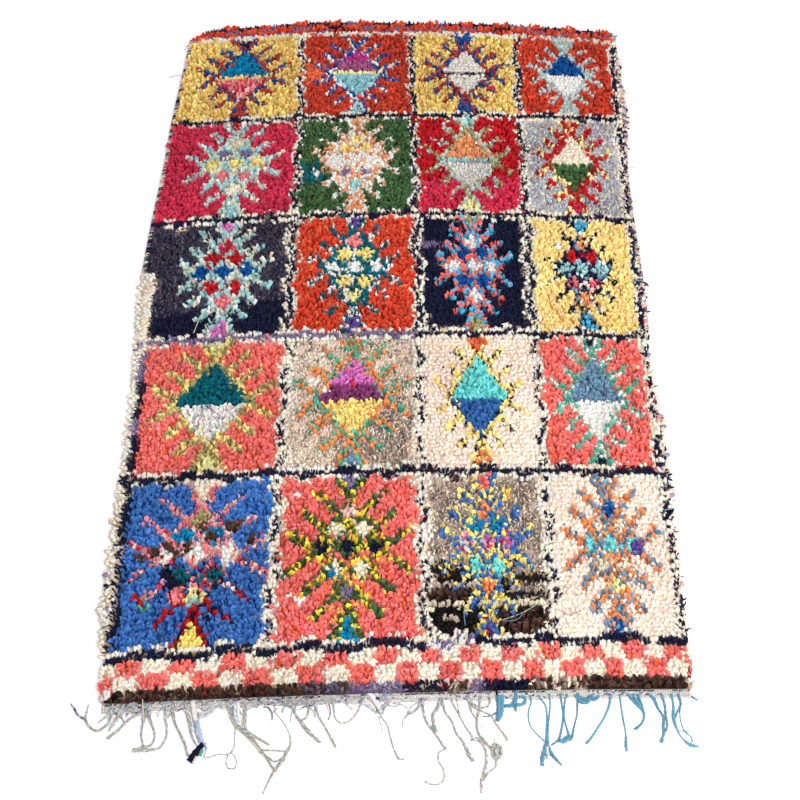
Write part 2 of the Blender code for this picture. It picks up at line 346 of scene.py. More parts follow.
# Patches of a second ground, by compartment: colour, the shares across and down that it fills from left to
# right and from top to foot, and how ragged its rim is
patches = {
    (3, 1): [("heatherDark", 0.60, 1.00, 0.40, 1.00, 0.16), ("heatherDark", 0.34, 0.66, 0.78, 1.00, 0.10)],
    (0, 1): [("ember", 0.00, 0.18, 0.32, 0.58, 0.05)],
    (1, 1): [("tealDark", 0.00, 0.22, 0.50, 0.66, 0.04)],
    (1, 2): [("raspberry", 0.00, 1.00, 0.66, 1.00, 0.02)],
    (2, 0): [("navy", 0.00, 0.45, 0.77, 1.00, 0.02), ("navy", 0.45, 1.00, 0.70, 1.00, 0.015)],
    (2, 2): [("lilac", 0.00, 0.22, 0.23, 0.29, 0.02)],
    (4, 2): [("black", 0.00, 1.00, 0.56, 1.00, 0.02), ("darkEnd", 0.00, 0.34, 0.70, 0.76, 0.02),
             ("darkEnd", 0.55, 1.00, 0.85, 0.95, 0.04), ("taupeMid", 0.00, 0.45, 0.665, 0.69, 0.0),
             ("heatherDark", 0.70, 1.00, 0.575, 0.62, 0.012),
             ("heatherDark", 0.62, 1.00, 0.68, 0.725, 0.012), ("linen", 0.00, 1.00, 0.765, 0.79, 0.0),
             ("taupeMid", 0.14, 0.28, 0.865, 0.89, 0.0)],
}

# Odd knots of scrap, by compartment: shares across and down, how far the scrap reaches, and its yarn
scraps = {
    (4, 1): [(0.13, 0.71, 0.012, "chalk"), (0.19, 0.74, 0.014, "chalk"), (0.14, 0.13, 0.010, "chalk"),
             (0.40, 0.60, 0.012, "azure")],
    (4, 0): [(0.17, 0.68, 0.012, "apricot"), (0.19, 0.73, 0.010, "seaGreen"),
             (0.12, 0.68, 0.012, "scarlet"), (0.31, 0.40, 0.014, "brown"), (0.43, 0.41, 0.014, "brown"),
             (0.57, 0.36, 0.016, "brown"), (0.72, 0.30, 0.018, "brown"), (0.84, 0.37, 0.014, "brown"),
             (0.22, 0.44, 0.013, "brown"), (0.14, 0.47, 0.012, "brown"), (0.37, 0.46, 0.012, "brown"),
             (0.52, 0.31, 0.014, "brown"), (0.30, 0.56, 0.022, "navy"), (0.36, 0.62, 0.022, "navy"),
             (0.70, 0.51, 0.016, "chalk"), (0.74, 0.47, 0.012, "blush"), (0.50, 0.72, 0.014, "aqua"),
             (0.38, 0.69, 0.020, "rose"), (0.60, 0.80, 0.012, "navy")],
    (4, 2): [(0.28, 0.02, 0.020, "brown")],
    (4, 3): [(0.72, 0.47, 0.018, "violet")],
    (3, 1): [(0.20, 0.35, 0.012, "chalk"), (0.26, 0.15, 0.010, "chalk"), (0.30, 0.42, 0.009, "chalk"),
             (0.50, 0.385, 0.011, "crimson")],
    (2, 1): [(0.14, 0.40, 0.012, "chalk"), (0.22, 0.54, 0.012, "chalk")],
    (0, 2): [(0.76, 0.68, 0.012, "crimson")],
    (3, 2): [(0.50, 0.05, 0.030, "ember")],
}

for spec in diamonds + lattices:
    spec["place"] = (spec["row"], spec["column"])

# Yarns that change, from a share down and for the knots whose random number is over the second one
changes = {(4, 0): [("mistRose", 0.49, -1.0, "navy"), ("roseMix", 0.67, -1.0, "scarlet")],
           (1, 3): [("scarlet", -1.0, 0.74, "lemon")]}

# The foot of these diamonds' upper half is a second yarn, from this share down
secondYarns = {(0, 1): ("plum", 0.33), (3, 1): ("plumDark", 0.385)}

# These lattices' nets reach further out, so that they close up
closeNets = {(1, 1): 2.7, (2, 1): 2.0, (2, 3): 1.7, (2, 2): 1.45}

# These lattices have wider cells
wideCells = {(1, 0): 1.16, (2, 0): 1.22, (2, 1): 1.10, (2, 2): 1.24, (2, 3): 1.10, (4, 2): 1.08}

# The rays of these compartments are wider or finer than their row's
rayWidths = {(0, 1): 0.90, (0, 3): 0.82, (1, 2): 0.84, (1, 3): 0.85, (2, 3): 0.84, (3, 0): 1.30, (3, 2): 0.90,
             (3, 3): 1.15, (4, 1): 1.25, (4, 3): 1.10}

# One medallion's layout in shares of its compartment, across and down, and its rays' width in metres
medallion = {
    "half": 0.235,
    "top": 0.18,
    "waist": 0.48,
    "foot": 0.77,
    "divider": 0.017,        # half the height of the stripe at the waist
    "outline": 1.19,         # the rim ends at this many times the diamond's own reach
    "forkSpread": 0.092,
    "forkTop": 0.030,
    "forkFoot": 0.970,
    "forkOver": -0.3,        # the forks' fill goes on this far past their tips
    "strokeHalf": [0.0100, 0.0100, 0.0086, 0.0092, 0.0090],    # half a ray's width, row by row
    "rays": [                # root across and down, then the tip's, on the left side
        (0.41, 0.24, 0.290, 0.130),
        (0.34, 0.345, 0.210, 0.250),
        (0.26, 0.45, 0.120, 0.360),
        (0.27, 0.50, 0.125, 0.590),
        (0.33, 0.62, 0.235, 0.710),
        (0.425, 0.73, 0.305, 0.830),
    ],
    "tierDown": [0.245, 0.345, 0.452, 0.580, 0.700],
    "tierCells": [1, 2, 3, 2, 1],
    "cellStep": 0.170,
    "cellHalf": 0.060,
    "cellTall": 0.056,
    "latticeEdge": 1.62,     # the net ends at this many times a cell's own reach
}


def strokeDistance(x, y, ax, ay, bx, by):
    # Distance to a straight stroke: to the place on it that is nearest, held within its ends
    dx, dy = bx - ax, by - ay
    share = np.clip(((x - ax) * dx + (y - ay) * dy) / (dx * dx + dy * dy), 0, 1)
    return np.hypot(x - ax - share * dx, y - ay - share * dy)


def setStrokes(codes, u, v, size, strokes, pair, turn, half):
    # Each stroke and its mirror image, in two colours that take turns from knot to knot
    wide, tall = size
    for rootU, rootV, tipU, tipV in strokes:
        ends = (rootU * wide, rootV * tall, tipU * wide, tipV * tall)
        for across in (u, 1 - u):
            near = strokeDistance(across * wide, v * tall, *ends) < half
            codes[near] = np.where(turn[near], codeOf[pair[0]], codeOf[pair[1]])


def rayHalf(spec):
    # Half a ray's width: its row's, times the compartment's own share
    return medallion["strokeHalf"][spec["row"]] * rayWidths.get(spec["place"], 1.0)


def setRays(codes, u, v, size, spec, pair, turn):
    # The rays, drawn closer to or further from the middle line than the body of the medallion
    ratio = spec["raySpread"] / spec["spread"]
    across = 0.5 + (u - 0.5) / ratio
    setStrokes(codes, across, v, (size[0] * ratio, size[1]), medallion["rays"], pair, turn, rayHalf(spec))


def setTips(codes, u, v, size, spec, pair, turn):
    # The forks at the medallion's two ends: each is narrower in proportion to how near it is to the medallion
    m = medallion
    offset, arms = np.abs(u - 0.5), []
    for inner, outer, colour in (("top", "forkTop", "topTip"), ("foot", "forkFoot", "footTip")):
        share = (v - m[outer]) / (m[inner] - m[outer])
        inFork = (share > m["forkOver"]) & (share < 1) & (offset < m["forkSpread"] * (1 - share))
        codes[inFork] = codeOf[spec[colour]]
        arms.append((0.5, m[inner], 0.5 - m["forkSpread"], m[outer]))
    setStrokes(codes, u, v, size, arms, pair, turn, rayHalf(spec))


def setDiamond(codes, u, v, size, spec, turn):
    # Inside, the shares across and down from the waist add up to less than 1, and the rim is just outside.
    m = medallion
    pair = (spec["rayOne"], spec["rayTwo"])
    upper = v < m["waist"]
    far, near = (m["waist"] - v) / (m["waist"] - m["top"]), (v - m["waist"]) / (m["foot"] - m["waist"])
    reach = np.abs(u - 0.5) / m["half"] + np.where(upper, far, near)
    setTips(codes, u, v, size, spec, pair, turn)
    setRays(codes, u, v, size, spec, pair, turn)
    rim = (reach < m["outline"]) & (reach >= 1)
    codes[rim] = np.where(turn[rim], codeOf[pair[0]], codeOf[pair[1]])
    second, start = secondYarns.get(spec["place"], (spec["upper"], 1.0))
    codes[(reach < 1) & upper] = codeOf[spec["upper"]]
    codes[(reach < 1) & upper & (v > start)] = codeOf[second]
    codes[(reach < 1) & ~upper] = codeOf[spec["lower"]]
    codes[(reach < 1) & (np.abs(v - m["waist"]) < m["divider"])] = codeOf[spec["divider"]]


def setLattice(codes, u, v, size, spec, turn):
    # A cell holds the points whose shares across and down from its middle add up to less than 1, with a net
    # between the cells
    m = medallion
    pair = (spec["one"], spec["two"])
    setTips(codes, u, v, size, spec, pair, turn)
    setRays(codes, u, v, size, spec, pair, turn)
    nearest = np.full(u.shape, np.inf)
    cell = np.zeros(u.shape, int)
    scale = wideCells.get(spec["place"], 1.0)
    for down, count, name in zip(m["tierDown"], m["tierCells"], spec["cells"]):
        for number in range(count):
            middle = 0.5 + (number - (count - 1) / 2) * m["cellStep"]
            reach = (np.abs(u - middle) / m["cellHalf"] + np.abs(v - down) / m["cellTall"]) / scale
            cell = np.where(reach < nearest, codeOf[name], cell)
            nearest = np.minimum(nearest, reach)
    net = (nearest >= 1) & (nearest < closeNets.get(spec["place"], m["latticeEdge"]))
    codes[net] = np.where(turn[net], codeOf[pair[0]], codeOf[pair[1]])
    codes[nearest < 1] = cell[nearest < 1]


# The lines between the compartments, in knots and rows. A wave is its reach, its radians per metre, and how
# far it shifts from one line to the next. A swell is its radians per metre, how far it bends, and the bend's.
knotLines = {
    "mixChance": 0.15,       # how often two yarns that take turns change places
    "paleChance": 0.92,      # share of the pale knots beside a line that are there
    "lineHalf": [0.60, 0.62, 0.66, 0.78, 0.92],       # half the width of cross lines 1 to 5
    "paleMore": 0.80,        # and how much further the pale rows reach on both sides
    "crossWaves": [(0.45, 31.0, 2.4), (0.25, 83.0, 1.0)],
    "lilacLine": (3, 0.05, 0.60),                     # this line is lilac up to here, and this wide there
    "gapAt": (0.636, 0.662),                          # where line 5 has a gap, and where it is faint
    "faintAt": (0.066, 0.190),
    "sideHalf": [0.46, 0.48, 0.52, 0.44, 0.48],       # the same for the upright lines beside each row
    "sidePaleMore": [0.70, 0.74, 0.84, 1.00, 1.05],
    "sideWaves": [(0.45, 38.0, 1.0), (0.30, 91.0, 2.0)],
    "outerShare": 0.5,       # the two outer lines sway less
    "leftMore": 0.16,        # and the left one is wider. It starts beside row 4, and the compartments' ground
    "leftOpenTo": 0.42,      # runs to the edge as far as this share of row 3
    "leftLilac": (0.27, 0.55, 0.68),                  # beside row 4 it is lilac to here, and between these
    "gapSwell": (88.0, 2.0, 23.0),                    # the nearer uprights have gaps where the swell is high
    "gapShift": 3.0,
    "gapOver": 0.66,
    "bandFrom": -1.2,        # the pale bands outside the two outer lines, in knots from them
    "spareFrom": 0.6,
    "dashSwell": (240.0, 2.0, 19.0),                  # dark dashes along the right one
    "dashOver": 0.35,
    "dashTo": 1.6,
    "dashChance": 0.7,
    "insetKnots": 1.5,       # the cross lines' pale rows end this far past the right line
}

# The two borders
borders = {
    "farBlock": 0.059,       # length of a block in the far border
    "farShift": 0.3,         # how far the first block is moved along, in blocks
    "farTier": (0.2, 2),     # a tier is two rows high, and the first is a little lower
    "farRed": (0.70, 0.84),  # length of red in each two blocks, in the first tier and in the next
    "farNavy": (4, 1),       # how many of five dark blocks are navy there
    "farPale": 1.2,          # height of the pale row that ends it, in rows
    "edgeRows": 0.5,         # the next row has pale knots too
    "edgeChance": 0.7,
    "nearPlace": [-0.820, -0.688, -0.030, 0.700, 0.805],    # the near border's blocks count up evenly
    "nearCount": [-1, 0, 5, 12, 13],                         # between these places, closer on the right
    "nearTiers": [1.5, 4.5, 8.5],                            # rows where the first row and the two tiers end
    "nearHalf": 0.235,       # half a block, in pairs of blocks, and how far its end strays
    "nearStray": 0.03,
    "nearPale": 0.20,        # share of pale knots in the first row
    "stripeEnds": (-0.728, 0.722),
    "endStripes": [          # the dark stripe at the near end: where each yarn ends, from the left
        (-0.259, "darkEnd"),
        (-0.127, "plumEnd"),
        (0.012, "lilac"),
        (0.118, "navy"),
        (0.176, "scrapEnd"),
        (0.212, "lilac"),
        (0.326, "navy"),
        (0.463, "beigeEnd"),
        (0.800, "darkEnd"),
    ],
}


def compartment(spec, u, v, size, chance, turn):
    # One compartment's codes: its ground, then patches, the medallion, odd scraps, and yarns that change
    codes = np.full(u.shape, codeOf[spec["ground"]])
    for colour, left, right, top, foot, ragged in patches.get(spec["place"], []):
        stray = ragged * (2 * chance - 1)
        across = (u + stray > left) & (u + stray < right)
        codes[across & (v + stray > top) & (v + stray < foot)] = codeOf[colour]
    make = setDiamond if "upper" in spec else setLattice
    make(codes, 0.5 + (u - 0.5) / spec["spread"], v, (size[0] * spec["spread"], size[1]), spec, turn)
    for across, down, reach, colour in scraps.get(spec["place"], []):
        codes[np.hypot((u - across) * size[0], (v - down) * size[1]) < reach] = codeOf[colour]
    for old, fromDown, fromChance, colour in changes.get(spec["place"], []):
        codes[(codes == codeOf[old]) & (v > fromDown) & (chance > fromChance)] = codeOf[colour]
    return codes


def setUprights(codes, spots):
    # The upright lines: dark where a knot is nearer to its line than half the width, and pale a little
    # further out, with the two bands outside them. Each line is moved sideways by its waves.
    k = knotLines
    y, row, v, chance = spots["y"], spots["row"], spots["v"], spots["chance"]
    number = np.arange(5)[:, None]
    sway = waves(y[None], number, k["sideWaves"]) * np.where(number % 4 == 0, k["outerShare"], 1.0)
    toColumn = (spots["x"][None] - spots["columns"]) / knotPitch - sway
    near = np.abs(toColumn).argmin(0)
    off = np.take_along_axis(toColumn, near[None], 0)[0]
    leftLine, body = near == 0, spots["body"]
    there = body & ~(leftLine & (row <= 2))
    half = np.take(k["sideHalf"], np.clip(row, 0, 4)) + k["leftMore"] * leftLine
    paleHalf = half + np.take(k["sidePaleMore"], np.clip(row, 0, 4))
    pale = there & (np.abs(off) < paleHalf) & (chance < k["paleChance"])
    codes[pale & ~(leftLine & (off > 0))] = codeOf["lineMix"]
    ridge = there & (np.abs(off) < half)
    gaps = swell(y, y, *k["gapSwell"], k["gapShift"] * near) > k["gapOver"]
    broken = (row >= 3) & ~leftLine & gaps & (chance < k["paleChance"])
    first, second, third = k["leftLilac"]
    lilac = leftLine & (row == 3) & ((v < first) | ((v > second) & (v < third)))
    codes[ridge & ~broken] = np.where(lilac, codeOf["lilac"], codeOf["navy"])[ridge & ~broken]
    codes[body & (spots["column"] == -1) & ~spots["openLeft"] & (off < k["bandFrom"])] = codeOf["bandMix"]
    spare = body & (spots["column"] == 4) & (off > k["spareFrom"])
    codes[spare] = codeOf["pinkBand"]
    dashes = (swell(y, y, *k["dashSwell"]) > k["dashOver"]) & (off < k["dashTo"]) & (chance < k["dashChance"])
    codes[spare & dashes] = codeOf["navy"]
    return ridge


def setCrossings(codes, spots):
    # The cross lines, drawn the same way in rows from the nearer of a band's two lines
    k = knotLines
    x, band, down, count = spots["x"], spots["band"], spots["down"], spots["count"]
    nearFoot = down - count > -count / 2
    line = np.where(nearFoot, band, band - 1)
    off = np.where(nearFoot, down - count, down) - waves(x, line, k["crossWaves"])
    there = (line >= 1) & (line <= 5) & (band >= 1)
    lilacLine, lilacTo, lilacHalf = k["lilacLine"]
    lilac = (line == lilacLine) & (x < lilacTo)
    gap, faint = ((line == 5) & (x > start) & (x < stop) for start, stop in (k["gapAt"], k["faintAt"]))
    half = np.where(lilac, lilacHalf, np.take(k["lineHalf"], np.clip(line, 1, 5) - 1))
    half = np.where(gap, 0.0, half)
    inset = spots["openLeft"] | (x > spots["columns"][4] + k["insetKnots"] * knotPitch)
    pale = there & (np.abs(off) < half + k["paleMore"]) & (spots["chance"] < k["paleChance"])
    codes[pale & ~inset] = codeOf["lineMix"]
    crossing = there & (np.abs(off) < half)
    for chosen, name in ((crossing, "navy"), (crossing & faint, "paleLilac"), (crossing & lilac, "lilac")):
        codes[chosen] = codeOf[name]
    return crossing


def setFarBorder(codes, spots):
    # Blocks in two tiers, dark and red by turns, over one pale row: a block is counted along x
    b = borders
    x, down, far = spots["x"], spots["down"], spots["band"] == 0
    lowered, height = b["farTier"]
    tier = np.floor((down + lowered) / height).astype(int)
    place = x / b["farBlock"] + b["farShift"]
    navy = (np.floor(place).astype(int) * 7 + tier * 3) % 5 < np.where(tier == 0, *b["farNavy"])
    red = (place + tier) % 2 < np.where(tier == 0, *b["farRed"])
    found = np.where(red, codeOf["brickMix"], np.where(navy, codeOf["navy"], codeOf["lilac"]))
    codes[far] = np.where(down > spots["count"] - b["farPale"], codeOf["lineMix"], found)[far]
    after = (spots["band"] == 1) & (down < b["edgeRows"]) & (spots["chance"] < b["edgeChance"])
    codes[after] = codeOf["lineMix"]


def setNearBorder(codes, spots, crossing):
    # Two tiers of blocks, each nearest a whole count or a half, then the dark stripe
    b = borders
    x, down, chance = spots["x"], spots["down"], spots["chance"]
    place = np.interp(x, b["nearPlace"], b["nearCount"]) + np.where(down < b["nearTiers"][1], 0.0, 0.5)
    red = np.abs(place - np.round(place)) + b["nearStray"] * (2 * chance - 1) < b["nearHalf"]
    red &= ~((down < b["nearTiers"][0]) & (chance < b["nearPale"]))
    stripe = np.full(x.shape, codeOf["darkEnd"])
    for east, name in b["endStripes"][::-1]:
        stripe[x < east] = codeOf[name]
    stripe[(x < b["stripeEnds"][0]) | (x > b["stripeEnds"][1])] = codeOf["bandMix"]
    found = np.where(red, codeOf["coralMix"], codeOf["creamMix"])
    found = np.where(down > b["nearTiers"][2], stripe, found)
    near = (spots["band"] == 6) & ~crossing
    codes[near] = found[near]


def patternAt(x, y, draw):
    # Each point's code, from its band, its rows down from the band's far line and its column. With it come
    # the band, the side to which the tuft lies outwards, its place in a clump, and whether it is on a line.
    chance = draw.random(x.shape)
    curves = rootLines(x, y)
    band = np.clip((y[None] <= curves + 1e-6).sum(0) - 1, 0, 6)
    upper = np.take_along_axis(curves, band[None], 0)[0]
    lower = np.take_along_axis(curves, band[None] + 1, 0)[0]
    count = bandRows[band]
    down = (upper - y) / (upper - lower) * count
    columns = columnLines(y)
    column = (x[None] > columns).sum(0) - 1
    turn = ((np.floor(x / knotPitch) + np.round(down)) % 2 == 0) ^ (chance < knotLines["mixChance"])
    row, v = band - 1, down / count
    body = (band >= 1) & (band <= 5)
    openLeft = (column == -1) & ((row <= 1) | ((row == 2) & (v < knotLines["leftOpenTo"])))
    codes = np.full(x.shape, codeOf["creamMix"])
    for spec in diamonds + lattices:
        inColumn = (column == spec["column"]) | (openLeft & (spec["column"] == 0))
        inside = body & (row == spec["row"]) & inColumn
        west, east = columns[spec["column"]][inside], columns[spec["column"] + 1][inside]
        size = (float(np.mean(east - west)), float(np.mean(upper[inside] - lower[inside])))
        u = (x[inside] - west) / (east - west)
        codes[inside] = compartment(spec, u, v[inside], size, chance[inside], turn[inside])
    spots = {"x": x, "y": y, "band": band, "row": row, "column": column, "v": v, "down": down, "count": count,
             "columns": columns, "chance": chance, "body": body, "openLeft": openLeft}
    ridge = setUprights(codes, spots)
    crossing = setCrossings(codes, spots)
    setFarBorder(codes, spots)
    setNearBorder(codes, spots, crossing)
    outward = body & np.where(column == -1, ~openLeft, (column == 4) & (x > columns[4] + knotPitch))
    rate, reach = pile["clumpWave"]
    place = x / pile["clump"] + reach * np.sin(rate * x)
    clump = np.where((band == 6) & (down > borders["nearTiers"][2]), 2 * (place - np.round(place)), 0)
    return codes, band, np.where(outward, np.sign(x), 0), clump, ridge | crossing


def unmixed(codes, draw):
    # Each point's yarn where its code is a mixture's: the first whose running share passes a random number
    codes = codes.copy()
    luck = draw.random(codes.shape)
    for name, yarns in mixtures.items():
        edges = np.cumsum([share for _, share in yarns])
        options = np.array([codeOf[yarn] for yarn, _ in yarns])
        chosen = codes == codeOf[name]
        codes[chosen] = options[np.clip(np.searchsorted(edges, luck[chosen]), 0, len(options) - 1)]
    return codes


# How yarns stray from the palette: slow swells across and along, a tint in each channel, and painted shade at
# the clump edges
fading = {
    "reach": 0.05,
    "across": (11.0, 3.0, 5.0),
    "along": (17.0, 2.0, 7.0),
    "tint": 0.03,
    "clumpEdgeShade": 0.45,
    "limits": (0.002, 0.9),  # no colour is darker or paler than this
}


def yarnColours(codes, draw, x, y, clump=0):
    # Each knot's own colour: the palette's, times the swells and one plus its spread times a random number.
    rows = paletteTable[codes]
    reach = fading["reach"]
    fade = 1 + reach * swell(x, y, *fading["across"]) + reach * swell(y, x, *fading["along"])
    value = (1 + rows[:, 3] * draw.normal(0, 1, len(codes))) * fade
    tint = 1 + fading["tint"] * draw.normal(0, 1, (len(codes), 3))
    # Painted shade: tufts towards a clump's edges, where the clumps part, are darkened
    tint = tint * (1 - fading["clumpEdgeShade"] * np.broadcast_to(clump, len(codes)) ** 2)[:, None]
    return np.clip(linear(rows[:, :3]) * value[:, None] * tint, *fading["limits"])


# Shapes of one lock: how many sides, its rings' shares of the length, width and thickness, whether it is cut
# off flat, how crumpled it is, how far its ring is turned in sides, and whether it is shaded smooth
lockFields = ("sides", "at", "wide", "thick", "blunt", "crumple", "turn", "smooth")
lockShapes = {kind: dict(zip(lockFields, values)) for kind, values in {
    "rag": (4, [0.0, 0.55, 1.0], [0.6, 1.0, 0.92], [0.9, 1.1, 0.7], True, 0.0017, 0.0, False),
    "soft": (4, [0.0, 0.5, 1.0], [0.6, 1.0, 0.80], [0.9, 1.1, 0.7], True, 0.0010, 0.0, True),
    "stitch": (4, [0.05, 0.5, 0.9], [0.4, 1.0, 0.7], [0.5, 1.0, 0.7], False, 0.0002, 0.0, True),
    "wool": (3, [0.0, 0.62], [0.7, 1.0], [0.7, 1.0], False, 0.0005, 0.5, True),
}.items()}

# Where a lock's faces lie in its own cell of the map, upwards, and the power of its colour at the tip, which
# is under 1 so that the tip is lighter, a painted highlight
lockMap = {
    "rootTo": 0.10,
    "ringsFrom": 0.12,
    "ringsTall": 0.70,
    "endFrom": 0.14,
    "endTo": 0.98,
    "margin": 0.05,
    "tipHighlightPower": 0.94,
}


def lockTemplate(shape):
    # Faces and map places of one lock: rings of sides joined by quads, a flat root, and a point or a flat end
    sides, rings, m = shape["sides"], len(shape["at"]), lockMap
    loops, sizes, places = [], [], []
    for ring in range(rings - 1):
        low, high = (m["ringsFrom"] + m["ringsTall"] * step / rings for step in (ring, ring + 1))
        for side in range(sides):
            near, after = ring * sides + side, ring * sides + (side + 1) % sides
            west, east = side / sides, (side + 1) / sides
            loops += [near, after, after + sides, near + sides]
            places += [(west, low), (east, low), (east, high), (west, high)]
            sizes.append(4)
    last = (rings - 1) * sides
    low = m["endFrom"] + m["ringsTall"] * (rings - 1) / rings
    flat = [(0.0, 0.0), (1.0, 0.0), (0.5, 1.0)]
    if sides == 4:
        flat = [(0.0, 0.0), (1.0, 0.0), (1.0, 1.0), (0.0, 1.0)]
    if shape["blunt"]:
        loops += list(range(last, last + sides))
        places += [(across, low + (m["endTo"] - low) * up) for across, up in flat]
        sizes.append(sides)
    else:
        for side in range(sides):
            loops += [last + side, last + (side + 1) % sides, rings * sides]
            places += [(side / sides, low), ((side + 1) / sides, low), ((side + 0.5) / sides, 1.0)]
            sizes.append(3)
    loops += list(range(sides))[::-1]
    places += [(across, m["rootTo"] * up) for across, up in flat]
    sizes.append(sides)
    return np.array(loops), np.array(sizes), np.array(places) * (1 - 2 * m["margin"]) + m["margin"]


def locks(shape, root, axis, side, length, wide, thick, bend, tone, mottle, paintedRootShading):
    # Root plus share times length along the axis, plus a bend upwards of share times one less share, plus the
    # ring: cosine times half the width along the side and sine times half the thickness across, then a random
    # crumple. What rises too high is pressed down. Painted shade darkens the colour towards the root (a
    # negative amount paints the root paler instead, as painted light), a power under 1 paints the tip lighter
    # as a painted highlight, and each point's strays.
    count, sides = len(root), shape["sides"]
    across = np.cross(axis, side)
    angles = 2 * math.pi * (np.arange(sides) + shape["turn"]) / sides
    points, reach = [], []
    for at, ringWide, ringThick in zip(shape["at"], shape["wide"], shape["thick"]):
        bow = (bend * at * (1 - at) * 4)[:, None]
        centre = root + axis * (length * at)[:, None] + np.array([0, 0, 1]) * bow
        for angle in angles:
            points.append(centre + side * (math.cos(angle) * ringWide * wide / 2)[:, None]
                          + across * (math.sin(angle) * ringThick * thick / 2)[:, None])
            reach.append(at)
    if not shape["blunt"]:
        points.append(root + axis * length[:, None])
        reach.append(1.0)
    points = np.stack(points, 1)
    points += random.normal(0, shape["crumple"], points.shape)
    full, height = pile["fullHeight"], np.maximum(points[..., 2], pile["lowest"])
    points[..., 2] = np.where(height > full, full + pile["overShare"] * (height - full), height)
    # Painted shade towards the root and a painted highlight at the tip, the shade weaker for pale yarns
    deep = 1 - np.array(reach)[None, :, None]
    pale = tone.mean(1)[:, None, None]
    colours = tone[:, None] ** (lockMap["tipHighlightPower"] + paintedRootShading * deep) * (1 - paintedRootShading * (1 - pale) * deep)
    colours = colours * (1 + mottle * random.normal(0, 1, points.shape[:2]))[..., None]
    loops, sizes, places = lockTemplate(shape)
    return {
        "points": points.reshape(-1, 3),
        "loops": (loops[None] + points.shape[1] * np.arange(count)[:, None]).ravel(),
        "sizes": np.tile(sizes, count),
        "places": np.tile(places, (count, 1)).reshape(count, -1, 2),
        "colours": np.clip(colours, *fading["limits"]).reshape(-1, 3),
        "smooth": np.full(len(sizes) * count, shape["smooth"]),
    }


def joinLocks(parts):
    # One set of arrays from several, each lock's map in its own cell of a square grid of cells.
    grid = math.ceil(math.sqrt(sum(len(part["places"]) for part in parts)))
    offset, cell = 0, 0
    for part in parts:
        number = cell + np.arange(len(part["places"]))
        corner = np.stack([number % grid, number // grid], 1)[:, None]
        part["places"] = ((part["places"] + corner) / grid).reshape(-1, 2)
        part["loops"] = part["loops"] + offset
        offset += len(part["points"])
        cell += len(number)
    return [np.concatenate([part[key] for part in parts]) for key in parts[0]]


def meshPiece(name, material, points, loops, sizes, places, colours, smooth=True):
    # A mesh from whole arrays, with its map and the colour of each point.
    mesh = bpy.data.meshes.new(name)
    mesh.vertices.add(len(points))
    mesh.vertices.foreach_set("co", np.asarray(points, np.float32).ravel())
    mesh.loops.add(len(loops))
    mesh.loops.foreach_set("vertex_index", np.asarray(loops, np.int32))
    mesh.polygons.add(len(sizes))
    starts = np.concatenate([[0], np.cumsum(sizes)[:-1]])
    mesh.polygons.foreach_set("loop_start", starts.astype(np.int32))
    mesh.polygons.foreach_set("use_smooth", np.array(np.broadcast_to(smooth, len(sizes))).tolist())
    mesh.update(calc_edges=True)
    bakeMap = mesh.uv_layers.new(name="OFBake")
    bakeMap.data.foreach_set("uv", np.asarray(places, np.float32).ravel())
    tone = mesh.attributes.new("yarnColour", "FLOAT_COLOR", "POINT")
    rgba = np.concatenate([colours, np.ones((len(colours), 1))], 1)
    tone.data.foreach_set("color", rgba.astype(np.float32).ravel())
    mesh.materials.append(material)
    mesh.validate()
    piece = bpy.data.objects.new(name, mesh)
    bpy.context.scene.collection.objects.link(piece)
    return piece


def node(tree, kind, inputs=None, **settings):
    # A shader node with its inputs and settings; an input given as a socket is linked.
    made = tree.nodes.new(kind)
    for key, value in settings.items():
        setattr(made, key, value)
    for key, value in (inputs or {}).items():
        socket = made.inputs[key]
        if isinstance(value, bpy.types.NodeSocket):
            tree.links.new(value, socket)
        else:
            socket.default_value = value
    return made


# How each yarn's fibres look: their scale, how much they streak the colour, and how much they stand out
fibres = {
    "knotYarn": (430.0, 0.16, 0.45),
    "groundWeave": (260.0, 0.2, 0.3),
    "bandWeave": (420.0, 0.2, 0.6),
    "twiningYarn": (700.0, 0.15, 0.5),
    "warpYarn": (700.0, 0.2, 0.5),
    "overcastYarn": (700.0, 0.2, 0.5),
    "looseThread": (900.0, 0.15, 0.4),
}
yarnLook = {
    "stretch": (1.0, 0.5, 0.7),
    "detail": 3.0,
    "from": (0.3, 0.7),
    "paler": 0.8,            # a pale streak is this share as strong as a dark one
    "relief": 0.0012,
    "surface": {"Roughness": 0.93, "Specular IOR Level": 0.08, "Subsurface Weight": 0.40,
                "Subsurface Scale": 0.005},
}


def yarnMaterial(name):
    # Yarn: its own colour times a streak from the noise of its fibres, which are raised as well
    scale, streaks, bump = fibres[name]
    look = yarnLook
    material = bpy.data.materials.new(name)
    material.use_nodes = True
    tree = material.node_tree
    shader = tree.nodes["Principled BSDF"]
    tone = node(tree, "ShaderNodeAttribute", attribute_name="yarnColour")
    place = node(tree, "ShaderNodeTexCoord")
    stretch = node(tree, "ShaderNodeMapping", {"Vector": place.outputs["Object"], "Scale": look["stretch"]})
    noise = node(tree, "ShaderNodeTexNoise",
                 {"Vector": stretch.outputs["Vector"], "Scale": scale, "Detail": look["detail"]})
    streak = node(tree, "ShaderNodeMapRange",
                  {"Value": noise.outputs["Fac"], "From Min": look["from"][0], "From Max": look["from"][1],
                   "To Min": 1 - streaks, "To Max": 1 + look["paler"] * streaks})
    lit = node(tree, "ShaderNodeVectorMath",
               {0: tone.outputs["Color"], "Scale": streak.outputs["Result"]}, operation="SCALE")
    relief = node(tree, "ShaderNodeBump",
                  {"Height": noise.outputs["Fac"], "Strength": bump, "Distance": look["relief"]})
    tree.links.new(lit.outputs["Vector"], shader.inputs["Base Color"])
    tree.links.new(relief.outputs["Normal"], shader.inputs["Normal"])
    for key, value in look["surface"].items():
        shader.inputs[key].default_value = value
    return material


